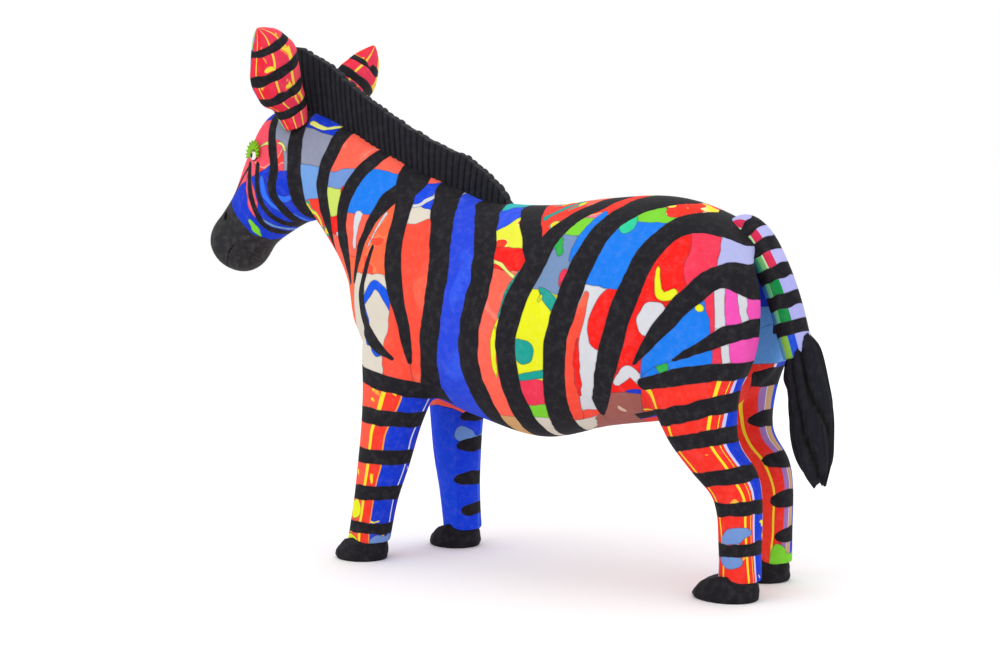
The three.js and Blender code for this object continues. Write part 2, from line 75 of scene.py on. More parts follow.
TAIL = [(268, 350, 14), (283, 362, 16), (297, 352, 17), (312, 327, 17), (326, 294, 16.5), (337, 257, 16),
        (342, 238, 15)]
TUFT = [(341, 247, 13), (346, 232, 19), (352, 212, 20.5), (356, 188, 22), (358, 156, 21), (362, 130, 16),
        (366, 112, 7)]
CREST = [(-268, 566), (-222, 545), (-178, 512), (-125, 479), (-74, 454), (-36, 438), (-2, 412), (27, 387)]
FOOT = [(-254, 474), (-199, 452), (-146, 428), (-94, 403), (-44, 384), (-14, 378), (10, 374), (29, 372)]
VOXEL = 3.0               # spacing of the body skin
SLAB = 3.0                # thickness given to each skin piece
EYE = (36, -296, 437)
CLEFT_DEEP, CLEFT_WIDE = 34, 24     # the valley between the buttocks
BUTTOCK_Y = 262           # behind this the rump stripes stop at the cleft
HOOF_HIGH, HOOF_HALF = 26, 27
HOOVES = (("front_left", 63, -134, 32, 27), ("front_right", 52, -85, 32, 27),
          ("hind_left", 52, 293, 38, 30),
          ("hind_right", 52, 284, 38, 30))         # name, x, y, reach of the toe, reach of the heel
STRIP_PITCH = 8.6         # spacing of the strips of the mane
EAR_ROOT = (32.0, -246, 470)
EAR_TIPS = (("left", 1, (88, -248, 576)), ("right", -1, (-94, -220, 562)))
EAR_ROWS = [(0, 4, 15, 13, 0), (0.1, 6, 18, 16, 2), (0.2, 7, 20.5, 19, 3.5), (0.34, 1, 28, 23, 5),
            (0.52, 2, 33, 24, 6),
            (0.72, 7, 30, 21, 5), (0.87, 6, 19, 14, 3), (0.96, 1, 9, 7, 1), (1, -3, 2.5, 2, 0)]
EAR_BANDS = {"left": (22, 44, 70, 97),
             "right": (20, 42, 64, 88)}      # places of the black bands up each ear
EAR_BAND_HALF = (5, 5.2, 5.4, 5)
EAR_SLANT = 3
TAIL_BANDS = ((27, 4.5), (48, 6.5), (76, 7), (104, 7), (131, 6.5))     # place down the tail, half width
TAIL_HALF = 16            # half the width that the soles of the tail are stacked across
RING_ENDS = {"left": (74, 96, 88, 92, 86),
             "right": (60, 44, 54, 62, 50)}      # degrees that leg stripes run on past the rear
CAMERA_AT, CAMERA_DIP = (1.8076, 1.0451, 0.426), math.radians(4.9)             # metres; tilt below level
CAMERA_HEADING = (-0.8660, -0.5)

# ---------------------------------------------------------------- small maths
def spline(rows, n):
    """A smooth curve through the rows: cubic pieces whose slopes are taken from the neighbours on either
    side."""
    r = np.array(rows, float)
    d = np.r_[0, np.cumsum(np.maximum(np.linalg.norm(np.diff(r[:, :2], axis=0), axis=1), 1e-6))]
    m = np.empty_like(r)
    m[1:-1] = (r[2:] - r[:-2]) / (d[2:] - d[:-2])[:, None]
    m[0], m[-1] = (r[1] - r[0]) / (d[1] - d[0]), (r[-1] - r[-2]) / (d[-1] - d[-2])
    t = np.linspace(0, d[-1], n)
    i = np.clip(np.searchsorted(d, t, side="right") - 1, 0, len(d) - 2)
    h = (d[i + 1] - d[i])[:, None]
    s = ((t - d[i]) / h[:, 0])[:, None]
    return ((2 * s**3 - 3 * s**2 + 1) * r[i] + (s**3 - 2 * s**2 + s) * h * m[i]
            + (3 * s**2 - 2 * s**3) * r[i + 1] + (s**3 - s**2) * h * m[i + 1])


def step(a, b, x):
    """0 below a, 1 above b, a soft S between."""
    t = np.clip((x - a) / (b - a), 0, 1)
    return t * t * (3 - 2 * t)


def ripple(p, size, seed):
    """Smooth uneven field from about -1 to 1: a sum of seven slanting sine waves about `size` long."""
    rng = np.random.default_rng(seed)
    k = rng.normal(size=(7, 3))
    k *= (2 * np.pi / size / np.linalg.norm(k, axis=1) * rng.uniform(0.7, 1.5, 7))[:, None]
    return np.sin(p @ k.T + rng.uniform(0, 6.28, 7)).sum(1) / 3.2


def tris(quads):
    """Two triangles for each four-cornered face."""
    return np.concatenate([quads[:, [0, 1, 2]], quads[:, [0, 2, 3]]])


def skin_over(rings):
    """Closed skin over rings (rings x corners x 3), with a fan of triangles at each end."""
    r, n = rings.shape[:2]
    i, j = np.meshgrid(np.arange(r - 1), np.arange(n), indexing="ij")
    k = (j + 1) % n
    q = np.stack([i * n + j, i * n + k, (i + 1) * n + k, (i + 1) * n + j], -1).reshape(-1, 4)
    v = np.concatenate([rings.reshape(-1, 3), rings[0].mean(0)[None], rings[-1].mean(0)[None]])
    j = np.arange(n)
    k = (j + 1) % n
    f = np.concatenate([tris(q), np.stack([np.full(n, r * n), k, j], -1),
                        np.stack([np.full(n, r * n + 1), (r - 1) * n + j, (r - 1) * n + k], -1)])
    return v, outward(v, f)


def outward(v, f):
    """Turns a closed skin so that its faces point out."""
    a, b, c = v[f[:, 0]], v[f[:, 1]], v[f[:, 2]]
    return f if (a * np.cross(b, c)).sum() > 0 else f[:, ::-1]


def normals(v, f):
    """Corner normals: the sum of the neighbouring faces' area vectors."""
    g = np.cross(v[f[:, 1]] - v[f[:, 0]], v[f[:, 2]] - v[f[:, 0]])
    n = np.stack([sum(np.bincount(f[:, k], g[:, c], len(v)) for k in range(3)) for c in range(3)], -1)
    return n / np.maximum(np.linalg.norm(n, axis=1), 1e-12)[:, None]


def smooth(v, f, rounds, grow=0.53):
    """Evens a skin out: each corner moves half way to its neighbours' middle, then back a little, so it
    keeps its size."""
    e = np.unique(np.sort(np.concatenate([f[:, [0, 1]], f[:, [1, 2]], f[:, [2, 0]]]), axis=1), axis=0)
    n = len(v)
    deg = np.bincount(e.ravel(), minlength=n)[:, None]
    for s in [0.5, -grow] * rounds:
        mean = np.stack([np.bincount(e[:, 0], v[e[:, 1], c], n) + np.bincount(e[:, 1], v[e[:, 0], c], n)
                         for c in range(3)], -1) / deg
        v = v + s * (mean - v)
    return v


# ---------------------------------------------------------------- node groups and finishes
def new_group(name, ins, outs):
    """An empty node group with named inputs and outputs, and its input and output nodes."""
    g = bpy.data.node_groups.new(name, "ShaderNodeTree")
    for n, kind, default in ins:
        s = g.interface.new_socket(n, in_out="INPUT", socket_type="NodeSocket" + kind)
        if default is not None:
            s.default_value = default
    for n, kind in outs:
        g.interface.new_socket(n, in_out="OUTPUT", socket_type="NodeSocket" + kind)
    return g, g.nodes.new("NodeGroupInput"), g.nodes.new("NodeGroupOutput")


def node(tree, kind, **props):
    """A shader node of one kind with its options set."""
    n = tree.nodes.new("ShaderNode" + kind)
    for k, v in props.items():
        setattr(n, k, v)
    return n


def maths(tree, op, a, b=None, c=None, clamp=False):
    """A sum on sockets or plain numbers."""
    n = node(tree, "Math", operation=op, use_clamp=clamp)
    for i, v in enumerate((a, b, c)):
        if v is None:
            continue
        if isinstance(v, (int, float)):
            n.inputs[i].default_value = v
        else:
            tree.links.new(v, n.inputs[i])
    return n.outputs[0]


def blend(tree, fac, a, b, mode="MIX"):
    """A mix of two colours by a share."""
    n = node(tree, "Mix", data_type="RGBA", blend_type=mode, clamp_factor=True)
    for sock, v in ((n.inputs[0], fac), (n.inputs[6], a), (n.inputs[7], b)):
        if isinstance(v, (int, float)):
            sock.default_value = v
        elif isinstance(v, tuple):
            sock.default_value = v
        else:
            tree.links.new(v, sock)
    return n.outputs[2]


def spread(tree, v, a, b, lo=0.0, hi=1.0, soft=False):
    """A value carried from the range a to b over to the range lo to hi."""
    n = node(tree, "MapRange", interpolation_type="SMOOTHSTEP" if soft else "LINEAR")
    tree.links.new(v, n.inputs[0])
    for i, x in enumerate((a, b, lo, hi)):
        n.inputs[i + 1].default_value = x
    return n.outputs[0]


def grain_at(tree, scale, detail=2.0, rough=0.5, distort=0.0, vec=None):
    """A noise value at a place."""
    n = node(tree, "TexNoise", noise_dimensions="3D")
    n.inputs["Scale"].default_value = scale
    n.inputs["Detail"].default_value = detail
    n.inputs["Roughness"].default_value = rough
    n.inputs["Distortion"].default_value = distort
    if vec is not None:
        tree.links.new(vec, n.inputs["Vector"])
    return n.outputs["Fac"]


def make_marble():
    """Two colours run together: islands of the second colour, edged with a hairline of a third, where noise
    is high."""
    g, i, o = new_group("marbled foam", [("Colour", "Color", (1, 1, 1, 1)),
                                         ("Second", "Color", (1, 1, 1, 1)),
                                         ("Hairline", "Color", (1, 1, 1, 1)),
                                         ("Share", "Float", 0.0), ("Size", "Float", 30.0),
                                         ("Seed", "Float", 0.0)], [("Colour", "Color")])
    at = node(g, "TexCoord").outputs["Object"]
    shift = node(g, "CombineXYZ")
    g.links.new(i.outputs["Seed"], shift.inputs[0])
    g.links.new(maths(g, "MULTIPLY", i.outputs["Seed"], 0.37), shift.inputs[2])
    moved = node(g, "VectorMath", operation="ADD")
    g.links.new(at, moved.inputs[0])
    g.links.new(shift.outputs[0], moved.inputs[1])
    n = node(g, "TexNoise")
    g.links.new(moved.outputs[0], n.inputs["Vector"])
    g.links.new(i.outputs["Size"], n.inputs["Scale"])
    n.inputs["Detail"].default_value = 1.2
    n.inputs["Distortion"].default_value = 0.7
    edge = maths(g, "SUBTRACT", n.outputs["Fac"],
                 maths(g, "SUBTRACT", 0.72, maths(g, "MULTIPLY", i.outputs["Share"], 0.42)))
    inside = spread(g, edge, -0.002, 0.002)
    line = maths(g, "MULTIPLY", spread(g, maths(g, "ABSOLUTE", edge), 0.016, 0.011),
                 maths(g, "GREATER_THAN", i.outputs["Share"], 0.01))
    two = blend(g, inside, i.outputs["Colour"], i.outputs["Second"])
    g.links.new(blend(g, line, two, i.outputs["Hairline"]), o.inputs[0])
    return g


def make_skin():
    """Sanded foam: faint cells, uneven tone, dusty scuffs, and a dark join where the distance to the
    piece's edge runs out."""
    g, i, o = new_group("sanded foam skin", [("Colour", "Color", (1, 1, 1, 1)), ("Tone", "Float", 0.06),
                                             ("Dust", "Float", 0.1), ("Join", "Float", 0.5),
                                             ("Lumps", "Float", 0.3), ("Rough", "Float", 0.7)],
                        [("Colour", "Color"), ("Roughness", "Float"), ("Normal", "Vector")])
    at = node(g, "TexCoord").outputs["Object"]
    broad = grain_at(g, 22, 3, 0.55, 0.2, at)
    mid = grain_at(g, 130, 5, 0.65, 0.0, at)
    fine = grain_at(g, 1500, 2, 0.6, 0.0, at)
    lumps = grain_at(g, 75, 3, 0.5, 0.1, at)
    mottle = maths(g, "SUBTRACT", maths(g, "ADD", broad, maths(g, "MULTIPLY", mid, 0.6)), 0.8)
    mottle = maths(g, "MULTIPLY", mottle, 4.0)
    tone = maths(g, "ADD", 1.0, maths(g, "MULTIPLY", i.outputs["Tone"], mottle))
    tone = maths(g, "MULTIPLY", tone, spread(g, fine, 0.25, 0.75, 0.95, 1.05))
    hsv = node(g, "HueSaturation")
    g.links.new(i.outputs["Colour"], hsv.inputs["Color"])
    g.links.new(tone, hsv.inputs["Value"])
    dust = maths(g, "MULTIPLY", i.outputs["Dust"], spread(g, mid, 0.42, 0.72, 0, 1, True))
    dusty = blend(g, dust, hsv.outputs[0], (0.55, 0.53, 0.52, 1))
    rim = node(g, "Attribute", attribute_name="rim").outputs["Fac"]
    near = spread(g, rim, 0.15, 0.75, 1, 0, True)
    joint = maths(g, "MULTIPLY", near, i.outputs["Join"])
    g.links.new(blend(g, joint, dusty, (0.035, 0.03, 0.035, 1)), o.inputs["Colour"])
    rough = maths(g, "ADD", i.outputs["Rough"], spread(g, mid, 0.3, 0.7, -0.09, 0.09))
    g.links.new(rough, o.inputs["Roughness"])
    height = maths(g, "ADD", maths(g, "MULTIPLY", fine, 0.10),
                   maths(g, "MULTIPLY", lumps, i.outputs["Lumps"]))
    height = maths(g, "ADD", height, spread(g, rim, 0.0, 1.3, -0.55, 0, True))
    bump = node(g, "Bump")
    bump.inputs["Strength"].default_value = 0.75
    bump.inputs["Distance"].default_value = 0.0011
    g.links.new(height, bump.inputs["Height"])
    g.links.new(bump.outputs[0], o.inputs["Normal"])
    return g


def make_layers():
    """Where a point lies across a stack of glued soles, wandering a little up and down the stack."""
    g, i, o = new_group("layered soles", [("Wander", "Float", 0.1), ("Length", "Float", 30.0)],
                        [("Across", "Float")])
    at = node(g, "TexCoord").outputs["Object"]
    across = node(g, "Attribute", attribute_name="across").outputs["Fac"]
    n = node(g, "TexNoise")
    g.links.new(at, n.inputs["Vector"])
    g.links.new(i.outputs["Length"], n.inputs["Scale"])
    n.inputs["Detail"].default_value = 1.5
    wave = maths(g, "MULTIPLY", maths(g, "SUBTRACT", n.outputs["Fac"], 0.5), i.outputs["Wander"])
    g.links.new(maths(g, "ADD", across, maths(g, "MULTIPLY", wave, 2.0)), o.inputs[0])
    return g


MARBLE, SKIN, LAYERS = make_marble(), make_skin(), make_layers()


def rgb(code):
    """A paint code such as f0606c as linear light."""
    c = np.array([int(code[k:k + 2], 16) for k in (0, 2, 4)]) / 255
    return tuple(np.where(c <= 0.04045, c / 12.92, ((c + 0.055) / 1.055) ** 2.4)) + (1.0,)


def place(mat, group, **values):
    """Puts a node group into a material with its own values."""
    n = mat.node_tree.nodes.new("ShaderNodeGroup")
    n.node_tree = group
    for k, v in values.items():
        n.inputs[k].default_value = v
    return n


def finish_of(name, colour, tone=0.05, dust=0.05, join=0.45, lumps=0.3, rough=0.75, spec=0.12):
    """A material: its colour comes from `colour`, a code or a function that adds nodes and gives a
    socket."""
    m = bpy.data.materials.new(name)
    m.use_nodes = True
    t = m.node_tree
    b = t.nodes["Principled BSDF"]
    s = place(m, SKIN, Tone=tone, Dust=dust, Join=join, Lumps=lumps, Rough=rough)
    if callable(colour):
        t.links.new(colour(m), s.inputs["Colour"])
    else:
        s.inputs["Colour"].default_value = rgb(colour)
        m.diffuse_color = rgb(colour)
    t.links.new(s.outputs["Colour"], b.inputs["Base Color"])
    t.links.new(s.outputs["Roughness"], b.inputs["Roughness"])
    t.links.new(s.outputs["Normal"], b.inputs["Normal"])
    b.inputs["Specular IOR Level"].default_value = spec
    return m


def marbled(a, b, line, share, size=30.0, seed=0.0):
    """Colour a with islands of colour b, each with a hairline round it."""
    def add(m):
        n = place(m, MARBLE, Colour=rgb(a), Second=rgb(b), Hairline=rgb(line), Share=share, Size=size,
                  Seed=seed)
        return n.outputs[0]
    return add


def layered(stops, wander=0.1, length=30.0, second=None, share=0.0, size=60.0, seed=0.0, within=(0, 1)):
    """Colours side by side across a stack: stops are (where the colour starts from 0 to 1, code). A second
    colour may be marbled in over one stretch of it."""
    def ramp(m, src):
        r = m.node_tree.nodes.new("ShaderNodeValToRGB")
        r.color_ramp.interpolation = "CONSTANT"
        e = r.color_ramp.elements
        e[0].position, e[0].color = stops[0][0], rgb(stops[0][1])
        e[1].position, e[1].color = stops[1][0], rgb(stops[1][1])
        for at, code in stops[2:]:
            e.new(at).color = rgb(code)
        m.node_tree.links.new(src, r.inputs[0])
        return r.outputs[0]

    def add(m):
        t = m.node_tree
        src = place(m, LAYERS, Wander=wander, Length=length).outputs[0]
        col = ramp(m, src)
        if second:
            g = place(m, MARBLE, Second=rgb(second[0]), Hairline=rgb(second[1]), Size=size, Seed=seed)
            here = maths(t, "MULTIPLY", maths(t, "GREATER_THAN", src, within[0]),
                         maths(t, "LESS_THAN", src, within[1]))
            t.links.new(maths(t, "MULTIPLY", here, share), g.inputs["Share"])
            t.links.new(col, g.inputs["Colour"])
            col = g.outputs[0]
        return col
    return add


def sheen_and_groove_shade(a, b):
    """The colour of the ribs, tinted bluish as a painted sheen on their backs, and darkened by painted
    shade down in the grooves between them.
    """
    def add(m):
        t = m.node_tree
        # painted shade: the groove mask blends the rib colour to near black down in the grooves
        deep = node(t, "Attribute", attribute_name="groove").outputs["Fac"]
        return blend(t, spread(t, deep, 0.15, 0.85, 0, 1, True), rgb(a), rgb(b))
    return add


FINISH = {
    "black": finish_of("black foam", "17151b", tone=0.10, dust=0.03, join=0.35, lumps=0.5, rough=0.8,
                       spec=0.16),
    "muzzle": finish_of("worn black muzzle", "19171b", tone=0.16, dust=0.06, join=0.5, lumps=0.7,
                        rough=0.72, spec=0.25),
    # Painted shade: near black, darker than the black muzzle foam, stands for the shade inside the mouth
    # cut and the nostril hollow.
    "slit": finish_of("mouth slit painted shade", "050405", tone=0.1, dust=0.0, join=0.6, lumps=0.4, rough=0.9,
                      spec=0.05),
    # Mane and tuft: bluish black as painted sheen on the ribs, and near black as painted shade in the
    # grooves.
    "mane": finish_of("black mane strips", sheen_and_groove_shade("171820", "010102"), tone=0.12, dust=0.02, join=0.0,
                      lumps=0.25, rough=0.75, spec=0.2),
    "tuft": finish_of("black tail tuft", sheen_and_groove_shade("10111b", "010102"), tone=0.12, dust=0.02, join=0.0,
                      lumps=0.3, rough=0.8, spec=0.2),
    "coral": finish_of("coral foam", marbled("f9604c", "fb7a68", "fa6c5a", 0.10, 24, 3.0)),
    "coralflat": finish_of("plain coral foam", "f9644e"),
    "orange": finish_of("orange coral foam", marbled("f8633c", "f5472e", "f8784e", 0.22, 30, 9.0)),
    "redcoral": finish_of("red coral foam", marbled("f34a36", "f75d44", "f5523c", 0.30, 12, 5.0)),
    "red": finish_of("red foam", "ea1a14"),
    "crimson": finish_of("crimson foam", "e63250"),
    "pink": finish_of("rose foam", "ee5468"),
    "facered": finish_of("face red foam", marbled("ee4c60", "ea3c38", "f29a80", 0.26, 26, 2.0)),
    "hotpink": finish_of("hot pink foam", "ea4cae"),
    "sky": finish_of("sky blue foam", "1376e2"),
    "royal": finish_of("royal blue foam", marbled("2142d2", "2a50de", "2648d8", 0.3, 20, 1.5)),
    "deepblue": finish_of("deep blue foam", "0a34c6"),
    "steel": finish_of("steel blue foam", "6c8eca"),
    "pale": finish_of("pale blue foam", "6a98d6"),
    "paleback": finish_of("light blue foam", "5c96dc"),
    "grey": finish_of("blue grey foam", "878ca2"),
    "greyblue": finish_of("dusty blue foam", marbled("6f8ab0", "5aa862", "829ab2", 0.08, 38, 6.0)),
    "white": finish_of("off-white foam", "cdced4"),
    "lavender": finish_of("lavender foam", "acb0e0"),
    "lime": finish_of("lime foam", "78cc2e"),
    "swirl": finish_of("red and yellow swirl", marbled("eadc2e", "ea2c1a", "f2eaa0", 0.56, 40, 6.1)),
    "yellow": finish_of("yellow foam", "dfe318"),
    "yellowchip": finish_of("yellow foam with red", marbled("dfe23a", "ee3a20", "f0e080", 0.30, 34, 1.7)),
    "paleyellow": finish_of("pale yellow foam", "dde078"),
    "green": finish_of("green foam", "28a646"),
    "teal": finish_of("teal foam", "12998c"),
    "teallight": finish_of("light teal foam", "22b0b0"),
    "aqua": finish_of("aqua green foam", "26c896"),
    "cream": finish_of("cream foam", "d2cabc"),
    "blueflat": finish_of("plain blue foam", "0a52dc"),
    "brightblue": finish_of("bright blue foam", "2c6cf0"),
    "royaldeep": finish_of("royal blue let-in", "0f44d8"),
    "limeflat": finish_of("plain pale lime foam", "c4d860"),
    "rosered": finish_of("rose red foam", "e83450"),
    "redswirl": finish_of("red foam with pink and yellow",
                          marbled("ea3424", "e8788c", "e6dc3c", 0.42, 34, 4.7)),
    "thigh": finish_of("thigh soles edge on", layered(
        [(0.0, "ea2c20"), (0.02, "ecd82a"), (0.03, "ea2c20"), (0.12, "ecd02a"), (0.14, "ea2c20"),
        (0.385, "ecd82c"), (0.40, "ea2c20"), (0.43, "ecd82c"), (0.437, "e8342a"), (0.452, "c4c6ec"),
        (0.465, "0c36ca"), (0.585, "dfe2ee"), (0.60, "ea3226")],
        0.03, 15.0)),
    "tan": finish_of("tan foam", "cf9f68"),
    "brown": finish_of("brown foam", marbled("9c5a52", "ae6c60", "d2b09a", 0.12, 30, 7.0)),
    "redyellow": finish_of("red and yellow marble", marbled("ec3828", "ead628", "2a9a86", 0.34, 34, 8.1)),
}
# Legs, ears and tail: soles stacked side by side. For a leg the share runs from the front by way of the
# outer face.
FINISH["leg_front_left"] = finish_of("left front leg foam", layered(
        [(0.0, "ea2c20"), (0.085, "ecd02a"), (0.10, "f2543e"), (0.265, "ecd82c"), (0.285, "ec3626"),
        (0.345, "f09a2c"), (0.353, "0a34c8"), (0.512, "dfe2ee"), (0.524, "0a34c8"), (0.60, "e8342a"),
        (0.78, "0e3cd8")],
        0.035, 16.0, second=("ecd82a", "f29a2c"), share=0.16, size=52.0, seed=2.0, within=(0.0, 0.33)))
FINISH["leg_front_right"] = finish_of("right front leg foam", layered(
        [(0.0, "0e3cd8"), (0.2, "ea3226"), (0.34, "0a34c8"), (0.47, "0c3ee0"), (0.50, "2a62ea"),
        (0.53, "0c3ee0"), (0.72, "1448e6"), (0.9, "0c3ee0")],
        0.03, 16.0))
FINISH["leg_hind_left"] = finish_of("left hind leg foam", layered(
        [(0.0, "0e3ccc"), (0.10, "dfe0e6"), (0.115, "ea2c20"), (0.185, "ecd02a"), (0.20, "ea2c20"),
        (0.385, "ecd82c"), (0.40, "ea2c20"), (0.43, "ecd82c"), (0.437, "e8342a"), (0.452, "c4c6ec"),
        (0.465, "0c36ca"), (0.585, "dfe2ee"), (0.60, "ea3226"), (0.74, "86b838"), (0.80, "ea2c20"),
        (0.97, "0e3ccc")],
        0.035, 15.0, second=("ecd82a", "f2a83a"), share=0.10, size=52.0, seed=7.0, within=(0.2, 0.385)))
FINISH["leg_hind_right"] = finish_of("right hind leg foam", layered(
        [(0.0, "0f78ea"), (0.2, "ea3226"), (0.40, "0c38cc"), (0.525, "c09a72"), (0.575, "dfe2ee"),
        (0.58, "9a70b4"), (0.625, "ea2c22"), (0.70, "ecd82c"), (0.715, "ec3626"), (0.80, "a6c83a"),
        (0.86, "ea2c22")],
        0.035, 16.0))
FINISH["ear"] = finish_of("ear soles edge on", layered(
        [(0.0, "1e9458"), (0.04, "c4d850"), (0.075, "1a64b4"), (0.11, "e2283a"), (0.23, "ecd040"),
        (0.25, "e02434"), (0.40, "e42c48"), (0.58, "ecd040"), (0.62, "e43452"), (0.86, "eec840"),
        (0.90, "ea4458")],
        0.035, 26.0, second=("ecd640", "f08a38"), share=0.12, size=60.0, seed=4.4, within=(0.11, 1.0)))
FINISH["tail_top"] = finish_of("tail soles, upper", layered(
        [(0.0, "3a78c8"), (0.18, "48a888"), (0.38, "74bc6e"), (0.55, "c0e0b0"), (0.60, "d02850"),
        (0.84, "b0b0e4")],
        0.05, 26.0))
FINISH["tail_mid"] = finish_of("tail soles, middle", layered(
        [(0.0, "3a86c0"), (0.25, "66ba80"), (0.40, "0c8842"), (0.74, "a8a8e4")],
        0.05, 26.0))
FINISH["tail_low"] = finish_of("tail soles, lower", layered(
        [(0.0, "58a8c0"), (0.25, "84bc44"), (0.50, "184cd2"), (0.72, "a6a8e4")],
        0.05, 26.0))
FINISH["lash"] = finish_of("lime lash foam", "84c018", tone=0.1, join=0.0, rough=0.6)
FINISH["bead"] = finish_of("eye white", "f0e9e2", tone=0.02, dust=0.0, join=0.0, lumps=0.0, rough=0.35,
                           spec=0.5)
FINISH["pupil"] = finish_of("dark pupil", "160e10", tone=0.02, dust=0.0, join=0.0, lumps=0.0, rough=0.2,
                            spec=0.5)
FINISH["lid"] = finish_of("red eye rim", "8a1a24", tone=0.05, dust=0.0, join=0.0, lumps=0.1, rough=0.5)

# ---------------------------------------------------------------- lines drawn on the side view (y, z)
# Black stripes let into the skin: y, z, half width.
STRIPES = {
    "stripe_cheek": [
        (-284, 520, 5), (-270, 453, 5.5), (-265, 425, 5.5), (-269, 398, 5.5), (-260, 375, 5),
        (-238, 340, 5)],
    "stripe_jaw": [
        (-240, 520, 8), (-239, 450, 9), (-238, 408, 9), (-237, 380, 8.5), (-224, 362, 6), (-214, 334, 5)],
    "stripe_face_rear": [
        (-289, 428, 2.8), (-290, 400, 3.2), (-283, 377, 3.2), (-267, 361, 3.2), (-249, 360, 2.5)],
    "stripe_face_front": [
        (-304, 428, 3.0), (-302, 400, 3.3), (-297, 378, 3.4), (-289, 357, 3.2), (-272, 348, 2.5)],
    "stripe_neck_1": [(-184, 490, 7), (-188, 455, 8), (-199, 402, 8), (-194, 366, 7), (-190, 333, 2)],
    "stripe_neck_2": [
        (-132, 470, 8), (-141, 434, 8), (-157, 407, 8), (-166, 384, 8), (-168, 356, 8), (-162, 322, 7),
        (-157, 300, 2.5)],
    "stripe_neck_3": [
        (-110, 450, 9), (-97, 412, 10), (-85, 378, 10), (-82, 345, 10.5), (-77, 305, 11), (-67, 272, 9),
        (-62, 244, 7), (-60, 219, 2)],
    "stripe_neck_fork": [
        (-88, 404, 13), (-106, 391, 9.5), (-124, 364, 6.5), (-137, 332, 6), (-145, 302, 3)],
    "stripe_breast": [
        (-112, 340, 2), (-121, 312, 4), (-128, 286, 5), (-124, 258, 6.5), (-103, 238, 7), (-78, 223, 2)],
    "stripe_shoulder_1": [
        (-66, 430, 8), (-50, 400, 10), (-34, 370, 12), (-23, 338, 12), (-20, 308, 12), (-24, 272, 12),
        (-32, 236, 12), (-41, 196, 12), (-50, 150, 12)],
    "stripe_shoulder_2": [
        (-25, 420, 8), (-3, 390, 9), (20, 364, 12), (33, 332, 13), (34, 300, 13), (25, 262, 12.5),
        (21, 222, 12.5), (26, 186, 12.5), (30, 130, 12.5)],
    "stripe_barrel_fork": [(36, 420, 9), (50, 390, 9), (72, 368, 10), (92, 338, 11)],
    "stripe_barrel_1": [
        (182, 412, 4), (158, 396, 5), (130, 379, 7), (107, 355, 9.5), (94, 322, 12.5), (78, 286, 12),
        (69, 250, 12), (69, 206, 12), (71, 170, 12), (74, 128, 12)],
    "stripe_barrel_2": [
        (260, 388, 2), (232, 394, 6), (204, 391, 9), (182, 382, 10.5), (163, 362, 12), (150, 326, 13),
        (138, 290, 13), (127, 254, 12.5), (119, 212, 11.5), (109, 168, 11.5), (98, 130, 11.5)],
    "stripe_barrel_3": [
        (340, 338, 9), (300, 358, 9.5), (264, 370.5, 10.5), (240, 365, 11), (222, 346, 11.5),
        (209, 316, 12), (197, 280, 12), (183, 240, 11), (172, 212, 9.5), (161, 190, 7), (155, 176, 2)],
    "stripe_rump_1": [
        (345, 290, 10), (322, 305, 11.5), (302, 319.5, 12), (286, 318, 11.5), (266, 300, 10.5),
        (246, 278, 9), (226, 254, 6), (209, 233, 1.5)],
    "stripe_rump_2": [(345, 272, 8), (314, 268, 9), (298, 262.5, 8), (280, 253, 6), (250, 238, 1.5)],
    "stripe_thigh": [(345, 226, 8.5), (310, 227, 8.5), (288, 227, 8.5), (258, 222, 8.5), (214, 212, 6)],
}
